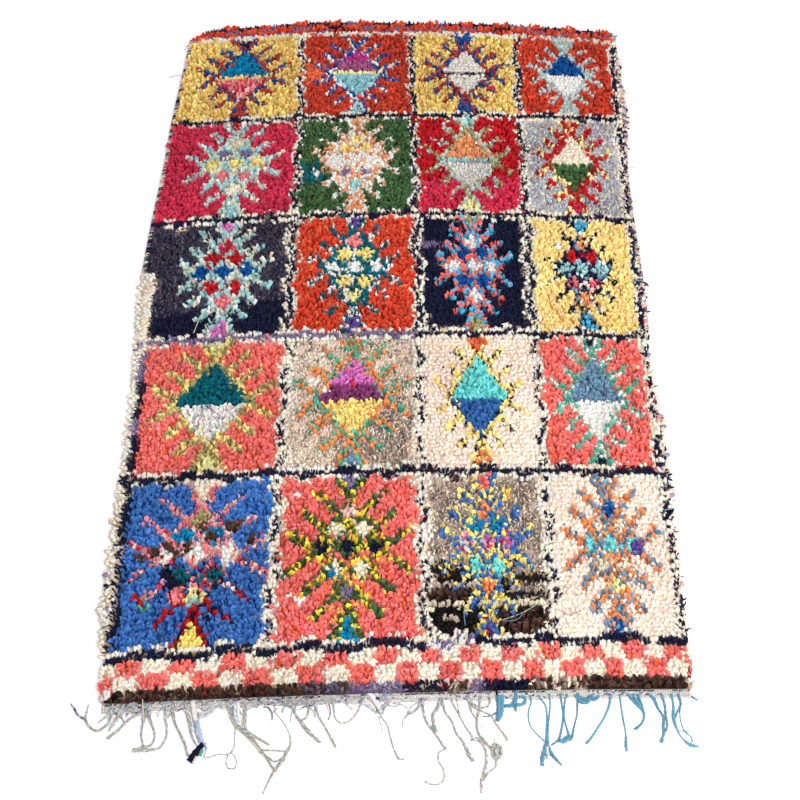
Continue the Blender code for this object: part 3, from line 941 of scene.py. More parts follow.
def knotRoots():
    # The two tufts of every knot, spaced evenly across, with each row an even share of the way between two
    # lines. The lines bend, so the places are found in three rounds.
    share = (np.arange(2 * pile["knotsAcross"]) + 0.5) / (2 * pile["knotsAcross"])
    xs, ys = [], []
    for band, count in enumerate(bandRows):
        rows = np.arange(count + 1 if band == 6 else count)
        across = np.tile(share, (len(rows), 1))
        down = np.tile((rows / count)[:, None], (1, len(share)))
        x = pile["width"] * (across - 0.5)
        y = np.full(across.shape, float(np.mean(middleLines[band:band + 2])))
        for _ in range(3):
            curves = rootLines(x, y)
            y = curves[band] + (curves[band + 1] - curves[band]) * down
            left, right = sidesAt(y)
            bare = np.clip((y - pile["bareFrom"]) / pile["bareOver"], 0, 1)
            left = left + pile["sideInset"] + pile["bareInset"] * bare
            x = left + (right - pile["sideInset"] - left) * across
        xs.append(x.ravel())
        ys.append(y.ravel())
    return np.concatenate(xs), np.concatenate(ys)


def unit(vectors):
    # Each vector divided by its own length.
    return vectors / np.linalg.norm(vectors, axis=1)[:, None]


def makePile():
    # The knotted pile, a piece for each row of compartments and one for the near border
    x, y = knotRoots()
    codes, band, outward, clump, ridge = patternAt(x, y, random)
    isWool = np.isin(codes, [codeOf[name] for name in woolNames])
    isSoft = np.isin(codes, [codeOf[name] for name in softNames])
    kinds = (("rag", ~isWool & ~isSoft), ("wool", isWool), ("soft", isSoft))
    print("tufts", len(x), "of which wool", int(isWool.sum()), "and soft", int(isSoft.sum()))
    material = yarnMaterial("knotYarn")
    group = np.clip(band, 1, 6)
    pieces = []
    for number in range(1, 7):
        parts = []
        for kind, ofKind in kinds:
            chosen = (group == number) & ofKind
            for shift in tufts[kind]["shifts"]:
                moved = x[chosen] + shift * knotPitch
                parts.append(pileLocks(kind, moved, y[chosen], codes[chosen], outward[chosen], clump[chosen],
                                       ridge[chosen]))
        arrays = joinLocks(parts)
        name = f"pile_row_{number}" if number < 6 else "pile_border"
        print(name, "triangles", int((arrays[2] - 2).sum()))
        pieces.append(meshPiece(name, material, *arrays))
    return pieces


def pileLocks(kind, x, y, codes, outward, clump, ridge):
    # Leaning tufts: the heading turns from +Y in slow swells and by chance, and the lean is measured from
    # upright. In a clump the tufts turn towards its middle, and its edges are lower and darkened with painted
    # shade.
    t, p, count = tufts[kind], pile, len(x)
    (firstReach, *first), (secondReach, *second) = p["swells"]
    flatter = p["sideFlatter"] * (outward != 0)
    lean = np.radians(t["lean"] + flatter + t["leanSpread"] * random.normal(0, 1, count))
    lean = lean.clip(*p["leanLimits"])
    drift = firstReach * swell(x, y, *first) + secondReach * swell(y, x, *second)
    drift = drift - clump * p["clumpTurn"]
    stray = t["headingSpread"] * np.where(ridge, p["ridgeCalm"], 1) * random.normal(0, 1, count)
    heading = np.radians(outward * p["sideHeading"] + drift + stray)
    spin = np.radians(t["spinSpread"] * random.normal(0, 1, count))
    axis = np.stack([np.sin(heading) * np.sin(lean), np.cos(heading) * np.sin(lean), np.cos(lean)], 1)
    level = unit(np.cross(axis, np.array([0.0, 0.0, 1.0])))
    upright = np.cross(level, axis)
    side = level * np.cos(spin)[:, None] + upright * np.sin(spin)[:, None]
    jitter = random.uniform(-t["jitter"], t["jitter"], (count, 2))
    bulge = p["clumpRise"] * (np.abs(clump) > 0) * (1 - clump ** 2)
    height = p["rootZ"] + t["rise"] + bulge + p["ridgeRise"] * ridge
    root = np.stack([x + jitter[:, 0], y + jitter[:, 1], height], 1)
    longer = (1 + p["lengthSpread"] * random.normal(0, 1, count)).clip(*p["lengthLimits"])
    length = t["length"] * np.where(outward != 0, p["outwardLonger"], 1) * longer
    size = random.uniform(*p["sizeLimits"], count)
    tone = yarnColours(unmixed(codes, random), random, x, y, clump)
    return locks(lockShapes[kind], root, axis, side, length, t["wide"] * size, t["thick"] * size,
                 np.full(count, p["bend"]), tone, t["mottle"], t["paintedRootShading"])


# The woven ground under the pile. Its colour on top is the knots' own, darkened by a power and by a share as
# painted shade in the gaps between the tufts, and the underside mixes it with the warp's.
ground = {
    "across": 74,            # how many faces
    "along": 112,
    "top": 0.0082,
    "softRise": 0.0030,      # the ground shows higher between the soft pale tufts
    "inset": 0.0040,
    # painted shade on top: the knots' colours to this power, times this share plus the share times their mean
    "power": 1.3,
    "share": 0.54,
    "underShare": 0.55,
    "warp": (196, 184, 164),
}
# Where a slab's faces lie in its map: margins, the share that the top and the foot each take, and the walls'
slabMap = {
    "margin": (0.02, 0.01),
    "face": (0.96, 0.46),
    "footFrom": 0.49,
    "walls": (0.97, 0.99),
}


def evenShares(rows, columns):
    # Even shares from 0 to 1, along the rows and along the columns of a grid.
    return np.meshgrid(np.linspace(0, 1, rows), np.linspace(0, 1, columns), indexing="ij")


def gridSolid(topX, topY, topZ, footZ):
    # A closed slab over a grid of plan points: its top, its foot turned over, and walls round the rim.
    rows, columns = topX.shape
    topCount = rows * columns
    index = np.arange(topCount).reshape(rows, columns)
    top = np.stack([index[:-1, :-1], index[1:, :-1], index[1:, 1:], index[:-1, 1:]], -1).reshape(-1, 4)
    foot = top[:, ::-1] + topCount
    rim = np.concatenate([index[:, 0], index[-1, 1:], index[-2::-1, -1], index[0, -2:0:-1]])
    after = np.roll(rim, -1)
    walls = np.stack([rim + topCount, after + topCount, after, rim], 1)
    points = np.concatenate([
        np.stack([topX, topY, topZ], -1).reshape(-1, 3),
        np.stack([topX, topY, footZ], -1).reshape(-1, 3),
    ])
    loops = np.concatenate([top, foot, walls])
    m, rimCount = slabMap, len(rim)
    share = np.stack(evenShares(rows, columns), -1).reshape(-1, 2)
    topPlaces = share * m["face"] + m["margin"]
    footPlaces = share * m["face"] + [m["margin"][0], m["footFrom"]]
    around, step = np.arange(rimCount) / rimCount, 1 / rimCount
    low, high = (np.full(rimCount, level) for level in m["walls"])
    wallPlaces = np.stack([np.stack(corner, 1) for corner in
                           ((around, low), (around + step, low), (around + step, high), (around, high))], 1)
    places = [topPlaces[top], footPlaces[foot - topCount], wallPlaces]
    places = np.concatenate([corners.reshape(-1, 2) for corners in places])
    return points, loops.ravel(), np.full(len(loops), 4), places


def makeGround():
    # The woven ground: x and y from the shares across and along, inset from the outline.
    g = ground
    across, along = evenShares(g["across"] + 1, g["along"] + 1)
    y = nearEdge(across) + g["inset"] / 4 + (farEdge(across) - g["inset"] - nearEdge(across)) * along
    left, right = sidesAt(y)
    x = left + g["inset"] + (right - left - 2 * g["inset"]) * across
    flatX, flatY = x.ravel(), y.ravel()
    yarns = patternAt(flatX, flatY, random)[0]
    isSoft = np.isin(yarns, [codeOf[name] for name in softNames]).reshape(x.shape)
    points, loops, sizes, places = gridSolid(x, y, g["top"] + g["softRise"] * isSoft, np.zeros(x.shape))
    tones = yarnColours(unmixed(yarns, random), random, flatX, flatY)
    # Painted shade: the top is the knots' colours darkened, so that the gaps between the tufts look shadowed
    upper = tones ** g["power"] * (g["share"] + g["share"] * tones.mean(1)[:, None])
    under = g["underShare"] * tones + (1 - g["underShare"]) * linear(g["warp"])
    material = yarnMaterial("groundWeave")
    return meshPiece("field_ground", material, points, loops, sizes, places, np.concatenate([upper, under]))


# The flat end band, the same strip as the solid's, and the twined rows of stitches on it
band = {
    "leftX": -0.745,
    "rightX": 0.733,
    "parting": 0.0003,
    "depth": 0.021,
    "thick": 0.0034,
    "columns": 370,
    "rows": 8,
    "waves": ((0.08, 41.0), (0.05, 97.0)),    # how far its near edge strays, in shares of its depth
    "level": 0.86,           # height of its top in shares of the thickness, and how far the warps stand out
    "warpRise": 0.10,
    "warpStep": 2.1,
    "thinFrom": 0.55,        # from this share of its depth on it gets thinner, by this share at the end
    "thinShare": 0.6,
    "tone": (186, 182, 180),
    "toneSpread": 0.12,
}
twining = {
    "pitch": 0.0056,
    "inset": 0.004,
    "stray": 0.0005,
    "turnSpread": 7.0,       # degrees
    "sunk": 0.98,
    "swell": (7.0, 2.0, 19.0),                # where navy stitches are more common
    "lavenderOver": 0.9,
    "thick": 0.0028,
    "bend": 0.0008,
    "mottle": 0.05,
    # painted shade: each stitch is darker towards its root end
    "paintedRootShading": 0.3,
    "rows": [                # depth from the back edge, slant in degrees, length, width and share of navy
        (0.0028, 30.0, 0.0080, 0.0030, 0.50),
        (0.0074, -38.0, 0.0084, 0.0036, 0.02),
        (0.0118, 38.0, 0.0084, 0.0036, 0.02),
        (0.0166, -38.0, 0.0080, 0.0036, 0.03),
    ],
}


def bandBack(x):
    # The band's back edge: the field's near edge less the parting.
    return nearEdge((x - band["leftX"]) / (band["rightX"] - band["leftX"])) - band["parting"]


def makeBand():
    # The flat weave: its top rises and falls with the warps, and it thins towards the fringe
    b = band
    share, depth = evenShares(b["columns"], b["rows"])
    x = b["leftX"] + (b["rightX"] - b["leftX"]) * share
    (slowReach, slow), (fastReach, fast) = b["waves"]
    y = bandBack(x) - b["depth"] * depth * (1 + slowReach * np.sin(slow * x) + fastReach * np.sin(fast * x))
    warp = np.sin(np.arange(b["columns"]) * b["warpStep"])[:, None] * np.ones(b["rows"])
    z = b["thick"] * (b["level"] + b["warpRise"] * warp * np.sin(math.pi * depth))
    z = z * (1 - b["thinShare"] * np.clip((depth - b["thinFrom"]) / (1 - b["thinFrom"]), 0, 1) ** 2)
    points, loops, sizes, places = gridSolid(x[::-1], y[::-1], z[::-1], np.zeros(x.shape))
    tones = linear(b["tone"]) * (1 + b["toneSpread"] * random.normal(0, 1, (x.size, 1)))
    colours = np.clip(np.concatenate([tones, tones]), *fading["limits"])
    return meshPiece("end_band", yarnMaterial("bandWeave"), points, loops, sizes, places, colours)


def makeTwining():
    # Slanted stitches in rows along the band, each a lock that lies flat
    w, parts = twining, []
    for depth, slant, length, wide, dark in w["rows"]:
        x = np.arange(band["leftX"] + w["inset"], band["rightX"] - w["inset"], w["pitch"])
        count = len(x)
        y = bandBack(x) - depth + random.normal(0, w["stray"], count)
        turn = np.radians(slant + w["turnSpread"] * random.normal(0, 1, count))
        axis = np.stack([np.cos(turn), np.sin(turn), np.zeros(count)], 1)
        side = np.stack([-np.sin(turn), np.cos(turn), np.zeros(count)], 1)
        root = np.stack([x, y, np.full(count, band["thick"] * w["sunk"])], 1) - axis * length / 2
        pick = random.random(count)
        navy = pick < dark * 2 * (0.5 + 0.5 * swell(x, x, *w["swell"]))
        codes = np.where(navy, codeOf["navy"], codeOf["chalk"])
        codes = np.where(pick > w["lavenderOver"], codeOf["yarnLavender"], codes)
        even = [np.full(count, value) for value in (length, wide, w["thick"], w["bend"])]
        tone = yarnColours(codes, random, x, y)
        parts.append(locks(lockShapes["stitch"], root, axis, side, *even, tone, w["mottle"], w["paintedRootShading"]))
    return meshPiece("end_twining", yarnMaterial("twiningYarn"), *joinLocks(parts))


fringe = {
    "sides": 6,
    "step": 0.0042,          # length between two rings
    "ply": 0.0150,           # length of one turn of a yarn's own twist
    "thinnest": 0.0005,
    "flatter": 0.0030,       # no end is thicker than twice this
    "oneTo": 0.0050,         # half the width up to which a blue or thin end is one yarn
    "twoTo": 0.0055,         # and up to which the others are two, with four in wider ones
    # By how many yarns an end has: each one's share of half its width, how far off the route it is in the
    # same shares, and its share of the thickness
    "yarns": {1: (1.0, 0.0, 1.0), 2: (0.70, 0.42, 0.7), 4: (0.46, 0.62, 0.7)},
    "strandSpread": (0.9, 1.1),
    "cordTurn": 0.030,       # length in which two yarns turn round each other, and how four only sway
    "sway": (0.1, 60.0),
    "liftTo": 0.0016,
    "over": 1.25,            # height of a yarn's middle in shares of half its thickness
    "rootRise": 0.0030,      # it comes down from the band's edge over this length
    "rootLength": 0.012,
    "shade": (0.76, 1.04),
    "secondDarker": 0.92,
}
# The fringe's ends. Each end: its yarn, and its places in millimetres with half its width there
fringeEnds = [
    ("grey", [(-718, -1168, 5), (-718, -1186, 4), (-726, -1208, 3), (-747, -1224, 3), (-772, -1212, 3),
        (-782, -1193, 3)]),
    ("navyGrey", [(-780, -1198, 2.5), (-796, -1190, 2.5), (-812, -1172, 3), (-824, -1157, 1.5)]),
    ("grey", [(-782, -1195, 2.5), (-781, -1178, 2), (-779, -1160, 1.5)]),
    ("lavender", [(-716, -1170, 4), (-733, -1191, 3), (-751, -1206, 1.3)]),
    ("lavender", [(-690, -1158, 5), (-702, -1191, 5), (-715, -1215, 3), (-721, -1225, 1.3)]),
    ("grey", [(-664, -1155, 5), (-684, -1168, 5), (-700, -1192, 4)]),
    ("grey", [(-632, -1160, 5), (-641, -1174, 3.5), (-674, -1198, 3.2), (-700, -1226, 3.4),
        (-721, -1243, 4.4)]),
    ("grey", [(-634, -1158, 5), (-635, -1191, 4), (-639, -1221, 3), (-636, -1245, 2.7), (-628, -1261, 2.6),
        (-612, -1258, 2.6), (-605, -1238, 2.5), (-612, -1215, 3), (-623, -1191, 4.4), (-628, -1160, 5)]),
    ("grey", [(-581, -1152, 5), (-584, -1191, 3.3), (-576, -1221, 3), (-578, -1245, 3), (-592, -1266, 2.8),
        (-615, -1270, 4), (-656, -1272, 4)]),
    ("lavender", [(-622, -1262, 2), (-640, -1266, 3), (-656, -1268, 2)]),
    ("grey", [(-566, -1155, 5), (-566, -1175, 4.5), (-558, -1205, 3.3), (-543, -1231, 3.3),
        (-528, -1258, 3.3), (-519, -1285, 3)]),
    ("grey", [(-536, -1152, 5), (-530, -1181, 4.6), (-520, -1211, 4), (-514, -1235, 3), (-501, -1258, 2)]),
    ("lavender", [(-505, -1205, 4), (-500, -1232, 4), (-490, -1252, 2)]),
    ("thin", [(-478, -1252, 1.2), (-476, -1274, 1.2), (-479, -1288, 1.3), (-471, -1288, 1.3),
        (-445, -1280, 1.4), (-417, -1278, 1.4), (-412, -1272, 1.4), (-408, -1225, 1.4),
        (-408, -1174, 1.6)]),
    ("thin", [(-410, -1274, 1.4), (-417, -1278, 1.5), (-424, -1302, 1.6), (-419, -1312, 1.8),
        (-401, -1312, 1.8), (-399, -1298, 1.5), (-406, -1283, 1.4), (-416, -1276, 1.2)]),
    ("grey", [(-429, -1155, 6), (-419, -1191, 5.2), (-403, -1218, 4)]),
    ("pale", [(-410, -1155, 9), (-406, -1191, 9), (-396, -1218, 5)]),
    ("grey", [(-385, -1152, 6), (-386, -1191, 5), (-383, -1221, 5), (-357, -1238, 3.4),
        (-321, -1258, 2.6)]),
    ("grey", [(-403, -1214, 5), (-396, -1218, 6), (-370, -1240, 6), (-347, -1265, 4.5), (-327, -1288, 3),
        (-306, -1318, 3)]),
    ("grey", [(-313, -1160, 2), (-313, -1171, 1.6), (-288, -1205, 1.4), (-272, -1235, 1.6),
        (-269, -1258, 2.6), (-277, -1275, 4), (-285, -1292, 4.5), (-305, -1320, 3.8), (-319, -1345, 2.2),
        (-331, -1373, 1.5)]),
    ("lavender", [(-340, -1270, 2), (-314, -1271, 2), (-278, -1273, 1.6)]),
    ("grey", [(-344, -1275, 2), (-321, -1288, 2.4), (-308, -1297, 2), (-288, -1290, 2)]),
    ("grey", [(-278, -1150, 3.5), (-261, -1182, 2.8), (-245, -1204, 4), (-228, -1224, 5.2),
        (-213, -1238, 3.4), (-196, -1252, 4.6)]),
    ("grey", [(-232, -1152, 3), (-228, -1178, 2.3), (-235, -1194, 2.3), (-249, -1200, 3)]),
    ("grey", [(-213, -1152, 3.4), (-202, -1189, 2.7), (-184, -1217, 2.7), (-170, -1241, 3.2),
        (-157, -1264, 3.2)]),
    ("grey", [(-168, -1146, 3), (-164, -1175, 2.2), (-160, -1194, 2), (-149, -1204, 2), (-129, -1202, 2),
        (-112, -1187, 2.2), (-101, -1168, 2.6), (-95, -1145, 3.2)]),
    ("grey", [(-95, -1147, 3.2), (-81, -1161, 3), (-64, -1175, 2.6), (-48, -1182, 2.4)]),
    ("pale", [(-92, -1150, 8), (-76, -1162, 7), (-60, -1176, 3)]),
    ("grey", [(-31, -1150, 3.5), (-42, -1176, 2.6), (-47, -1183, 2), (-31, -1210, 1.7), (-23, -1241, 2),
        (-12, -1273, 2), (0, -1292, 2.6), (11, -1291, 1.6)]),
    ("thin", [(-52, -1188, 1), (-47, -1213, 1), (-42, -1227, 0.8)]),
    ("grey", [(56, -1150, 3.4), (39, -1175, 3.4), (20, -1185, 2.4), (8, -1199, 1.4), (6, -1215, 1.1)]),
    ("thin", [(18, -1182, 1.6), (30, -1164, 1.6), (53, -1150, 1.8)]),
    ("grey", [(58, -1145, 3.4), (59, -1178, 3), (68, -1206, 3), (84, -1224, 4), (94, -1241, 2.7),
        (108, -1261, 3), (114, -1268, 2.6)]),
    ("grey", [(113, -1268, 2), (96, -1276, 2), (94, -1294, 2), (106, -1315, 2), (108, -1332, 2),
        (99, -1348, 1.8), (82, -1351, 1.8), (60, -1344, 2)]),
    ("grey", [(104, -1145, 5), (94, -1168, 4.8), (82, -1187, 4), (84, -1206, 4), (90, -1227, 4.4)]),
    ("grey", [(106, -1148, 3.4), (113, -1178, 2.7), (130, -1203, 2.7), (138, -1227, 2.7), (156, -1252, 3),
        (169, -1280, 5.2), (179, -1297, 4.6)]),
    ("grey", [(128, -1148, 2.4), (147, -1185, 2), (162, -1213, 2), (179, -1238, 2.4)]),
    ("thin", [(142, -1145, 2), (149, -1185, 1.6)]),
    ("grey", [(167, -1140, 4.6), (183, -1161, 5.2), (197, -1171, 3.4)]),
    ("grey", [(171, -1142, 2.8), (179, -1178, 2.3), (190, -1196, 1.4)]),
    ("grey", [(202, -1140, 3.4), (197, -1175, 3), (191, -1203, 3), (193, -1227, 3), (207, -1247, 3),
        (224, -1266, 3)]),
    ("grey", [(203, -1169, 2.3), (220, -1164, 2.6), (226, -1148, 2.6), (224, -1138, 2.4)]),
    ("grey", [(176, -1246, 4.6), (193, -1245, 4.6), (207, -1262, 3.4), (212, -1294, 3.4), (205, -1322, 4),
        (198, -1346, 4), (196, -1371, 1.6)]),
    ("grey", [(224, -1269, 4), (234, -1255, 3.4), (248, -1266, 4), (243, -1287, 4.6), (229, -1287, 4),
        (226, -1270, 3)]),
    ("grey", [(236, -1262, 5), (236, -1288, 5), (234, -1308, 2), (217, -1322, 2.4), (203, -1340, 2.6)]),
    ("thin", [(233, -1241, 0.9), (234, -1256, 0.9)]),
    ("grey", [(200, -1175, 2), (227, -1187, 2.4), (238, -1206, 2.4), (258, -1234, 2.6), (266, -1247, 3.6)]),
    ("thin", [(188, -1203, 0.9), (210, -1217, 0.8)]),
    ("blue", [(207, -1190, 1.6), (227, -1187, 1.6), (240, -1180, 2.4)]),
    ("blue", [(251, -1138, 11), (251, -1164, 10), (248, -1185, 8), (242, -1201, 4)]),
    ("blue", [(317, -1114, 2.4), (302, -1117, 2.8), (292, -1129, 4), (290, -1147, 5.5), (281, -1161, 5),
        (261, -1164, 4)]),
    ("blue", [(289, -1162, 5), (289, -1177, 2.4)]),
    ("blue", [(285, -1154, 4), (302, -1161, 4.6), (314, -1152, 4.6), (311, -1140, 4), (299, -1141, 4)]),
    ("blue", [(326, -1138, 2.7), (329, -1150, 1.8), (321, -1175, 1.5), (320, -1196, 1.5),
        (324, -1213, 1.4), (336, -1229, 1.4), (355, -1248, 1.6)]),
    ("blue", [(346, -1138, 2.7), (364, -1162, 2), (366, -1182, 2), (363, -1217, 2), (360, -1252, 2.7)]),
    ("blue", [(375, -1134, 3), (376, -1157, 2.1), (373, -1182, 2.1), (367, -1217, 2.2), (364, -1252, 2.7)]),
    ("blue", [(362, -1250, 5), (358, -1260, 4.2), (350, -1283, 5.4), (346, -1308, 4.4)]),
    ("blue", [(362, -1250, 5), (364, -1260, 4.2), (372, -1280, 4.6), (386, -1297, 3.2), (396, -1307, 1.4)]),
    ("pale", [(361, -1262, 4), (363, -1292, 5)]),
    ("blue", [(403, -1134, 2.7), (405, -1157, 2), (406, -1189, 2), (400, -1220, 2.2), (391, -1245, 2.4),
        (372, -1259, 1.8)]),
    ("blue", [(418, -1134, 2.4), (412, -1161, 2), (409, -1192, 2), (414, -1220, 2.2), (418, -1238, 3.4)]),
    ("blue", [(391, -1247, 2.7), (401, -1250, 5.5), (415, -1241, 7.5), (424, -1245, 4)]),
    ("blue", [(445, -1150, 3), (441, -1185, 2.1), (432, -1213, 2.3), (425, -1240, 3)]),
    ("blue", [(442, -1136, 5), (456, -1150, 8.5), (470, -1151, 8), (474, -1142, 5)]),
    ("blue", [(477, -1138, 5), (485, -1146, 6), (501, -1138, 2.6)]),
    ("blue", [(530, -1134, 3.1), (525, -1157, 2.7), (511, -1187, 2.3), (490, -1217, 2.1),
        (470, -1243, 2.6), (458, -1255, 3.2)]),
    ("blue", [(552, -1134, 2.4), (553, -1164, 2.1), (555, -1196, 2.4), (558, -1231, 2), (556, -1259, 3.8),
        (556, -1274, 2.4)]),
    ("blue", [(571, -1135, 3), (590, -1157, 3.4), (606, -1174, 3.2)]),
    ("blue", [(583, -1135, 4), (596, -1154, 4), (606, -1176, 3)]),
    ("blue", [(596, -1135, 3), (603, -1154, 3), (607, -1176, 3), (608, -1189, 2.6), (600, -1206, 2.6),
        (581, -1221, 3.6)]),
    ("blue", [(622, -1133, 2.7), (636, -1145, 4), (644, -1168, 3), (655, -1190, 2.7), (653, -1213, 3.3),
        (651, -1232, 2.7)]),
    ("blue", [(655, -1133, 3), (662, -1157, 3), (662, -1189, 3), (663, -1213, 2.4), (651, -1234, 3),
        (643, -1252, 5)]),
    ("blue", [(682, -1134, 3), (684, -1157, 2.4), (681, -1196, 4), (686, -1220, 2.4), (699, -1245, 1.8),
        (713, -1257, 4), (735, -1262, 1.6)]),
    ("blue", [(698, -1134, 3), (703, -1157, 2.7), (692, -1178, 2), (682, -1196, 2.7)]),
    ("blue", [(703, -1157, 1.8), (698, -1182, 1.2), (698, -1203, 1.2), (706, -1227, 1.3),
        (720, -1241, 1.3), (720, -1252, 1.4)]),
    ("blue", [(692, -1224, 1.3), (718, -1227, 1.2)]),
    ("blue", [(732, -1141, 2.7), (747, -1149, 1.6)]),
    ("rag", [(-520, -1150, 6.5), (-510, -1190, 8), (-502, -1212, 8)]),
    ("ragBlue", [(-506, -1200, 7), (-499, -1225, 8), (-488, -1253, 6)]),
    ("ragNavy", [(-484, -1255, 6), (-501, -1278, 9), (-514, -1298, 9)]),
    ("rag", [(-497, -1286, 3), (-506, -1302, 3)]),
    ("ragGreen", [(-484, -1270, 4.5), (-490, -1284, 4.5)]),
    ("ragBlue", [(-482, -1254, 3), (-474, -1268, 2.5)]),
    ("pale", [(-501, -1188, 8), (-478, -1181, 7), (-458, -1164, 4)]),
    ("rag", [(-84, -1122, 7.5), (-67, -1143, 7), (-50, -1171, 6.5), (-46, -1181, 2)]),
    ("rag", [(-72, -1113, 6), (-59, -1132, 7), (-58, -1141, 5)]),
    ("ragBlue", [(-35, -1115, 5), (-37, -1132, 4.5), (-33, -1150, 4)]),
    ("ragRoyal", [(-60, -1145, 3.4), (-52, -1145, 3.4)]),
    ("ragNavy", [(243, -1120, 3.4), (243, -1147, 3)]),
]
fringeTones = {              # the colours that an end's yarns take by turns
    "grey": ("yarnGrey", "yarnLavender", "yarnStraw"),
    "lavender": ("yarnLavender", "yarnStraw", "paleBlue"),
    "navyGrey": ("navy", "yarnLavender", "yarnGrey"),
    "thin": ("yarnGrey", "yarnLavender", "yarnGrey"),
    "pale": ("chalk", "mistLight", "paleBlue"),
    "blue": ("yarnBlue", "yarnBlue", "yarnBlue"),
    "rag": ("chalk", "chalk", "chalk"),
    "ragBlue": ("paleBlue", "paleBlue", "paleBlue"),
    "ragNavy": ("navy", "navy", "navy"),
    "ragGreen": ("seaGreen", "seaGreen", "seaGreen"),
    "ragRoyal": ("royal", "royal", "royal"),
}

# The mass of short curled ends on the ragged part of the band
curls = {
    "count": 150,
    "across": (-0.740, 0.005),
    "inFront": (0.003, 0.026),       # how far they start from the band's back edge
    "turnSpread": 0.5,
    "length": 0.040,
    "lengthShares": (0.5, 1.2),
    "points": 10,
    "bend": (-1.5, 1.5),
    "half": (0.0011, 0.0022),
    "taper": 0.3,
    "arch": 0.0030,
    "clear": 0.001,          # none comes nearer to the pile than this
    "over": 1.2,
    "sides": 5,
    "shade": (0.85, 1.05),
    "yarns": ["grey", "grey", "grey", "lavender", "pale", "navyGrey"],
}


def routeThrough(places, step):
    # A smooth route through the places: each column a cubic in the distance walked, at even steps
    places = np.asarray(places, float)
    walked = np.concatenate([[0], np.cumsum(np.hypot(*np.diff(places[:, :2], axis=0).T))])
    t = np.linspace(0, walked[-1], max(6, int(walked[-1] / step)))
    return np.column_stack([smoothCurve(t, walked, column) for column in places.T]), t


# Where a yarn's map lies along its strip, and how much its twist shows
tubeMap = {
    "ends": ((0.03, 0.0), (0.97, 1.0)),
    "walls": (0.04, 0.92),
    "strip": (0.9, 0.05),
    "twist": 0.18,
}


def yarnTube(path, wide, thick, sides, ply, toneOne, toneTwo):
    # A twisted yarn: half its width and half its thickness swell twice a turn, and the swell turns once in
    # each ply length along the path.
    ahead = unit(np.gradient(path, axis=0))
    side = unit(np.cross(ahead, np.array([0.0, 0.0, 1.0])))
    up = np.cross(side, ahead)
    length = np.concatenate([[0], np.cumsum(np.linalg.norm(np.diff(path, axis=0), axis=1))])
    angle = 2 * math.pi * np.arange(sides) / sides
    phase = angle[None] - 2 * math.pi * length[:, None] / ply
    twist = 1 + tubeMap["twist"] * np.cos(2 * phase)
    ring = path[:, None] + side[:, None] * (np.cos(angle)[None] * twist * wide[:, None])[..., None]
    ring = ring + up[:, None] * (np.sin(angle)[None] * twist * thick[:, None])[..., None]
    points = np.concatenate([ring.reshape(-1, 3), path[:1], path[-1:]])
    count = len(path)
    index = np.arange(count * sides).reshape(count, sides)
    after = np.roll(index, -1, 1)
    walls = np.stack([index[:-1], after[:-1], after[1:], index[1:]], -1).reshape(-1, 4)
    startFan = np.stack([after[0], index[0], np.full(sides, count * sides)], 1)
    endFan = np.stack([index[-1], after[-1], np.full(sides, count * sides + 1)], 1)
    loops = np.concatenate([walls.ravel(), startFan.ravel(), endFan.ravel()])
    sizes = np.concatenate([np.full(len(walls), 4), np.full(2 * sides, 3)])
    start, tall = tubeMap["walls"]
    share = start + tall * length / length[-1]
    place = np.arange(sides) / sides
    low, high = np.tile(share[:-1, None], (1, sides)), np.tile(share[1:, None], (1, sides))
    west, east = np.tile(place, (count - 1, 1)), np.tile(place + 1 / sides, (count - 1, 1))
    corners = ((west, low), (east, low), (east, high), (west, high))
    places = [np.stack([np.stack(corner, -1) for corner in corners], 2).reshape(-1, 2)]
    for rim, tip in tubeMap["ends"]:
        flat, point = np.full(sides, rim), np.full(sides, tip)
        corners = ((place, flat), (place + 1 / sides, flat), (place + 0.5 / sides, point))
        places.append(np.stack([np.stack(corner, -1) for corner in corners], 1).reshape(-1, 2))
    mix = 0.5 + 0.5 * np.cos(phase)
    tones = toneOne * (1 - mix[..., None]) + toneTwo * mix[..., None]
    tones = np.concatenate([tones.reshape(-1, 3), toneOne[None], toneOne[None]])
    return points, loops, sizes, np.concatenate(places), tones


def joinTubes(tubes):
    # One set of arrays from several yarns, each yarn's map in its own upright strip.
    joined, offset = [], 0
    wide, margin = tubeMap["strip"]
    for number, (points, loops, sizes, places, tones) in enumerate(tubes):
        strip = (places * [wide, 1.0] + [number + margin, 0.0]) / [len(tubes), 1.0]
        joined.append((points, loops + offset, sizes, strip, tones))
        offset += len(points)
    return [np.concatenate(group) for group in zip(*joined)]


def fringeStrand(kind, places):
    # Yarns that turn round one route, each off it by a share of half the end's width and no higher than the
    # end is thick
    f = fringe
    route, walked = routeThrough(np.array(places) * 0.001, f["step"])
    half = route[:, 2].clip(f["thinnest"])
    isRag = kind.startswith("rag")
    isThin = kind in ("blue", "thin") and half.max() < f["oneTo"]
    count = 1 if isRag or isThin else 2 if half.max() < f["twoTo"] else 4
    wideShare, offShare, thickShare = f["yarns"][count]
    ahead = np.gradient(route, axis=0)
    sideways = unit(np.column_stack([-ahead[:, 1], ahead[:, 0], np.zeros(len(route))]))
    tubes = []
    for number in range(count):
        wide = half * wideShare * random.uniform(*f["strandSpread"])
        thick = np.minimum(wide, f["flatter"] * thickShare)
        turned = walked / f["cordTurn"] if count < 4 else f["sway"][0] * np.sin(f["sway"][1] * walked)
        phase = 2 * math.pi * (number / count + turned)
        off = half * offShare
        lift = np.minimum(off, f["liftTo"]) * (1 + np.sin(phase))
        x = route[:, 0] + sideways[:, 0] * np.cos(phase) * off
        y = route[:, 1] + sideways[:, 1] * np.cos(phase) * off
        z = f["over"] * thick + lift + f["rootRise"] * np.clip(1 - walked / f["rootLength"], 0, 1)
        shade = random.uniform(*f["shade"])
        names = fringeTones[kind]
        first, second = (linear(palette[names[(number + step) % 3]][:3]) * shade for step in (0, 1))
        path = np.column_stack([x, y, z])
        tubes.append(yarnTube(path, wide, thick, f["sides"], f["ply"], first, second * f["secondDarker"]))
    return tubes


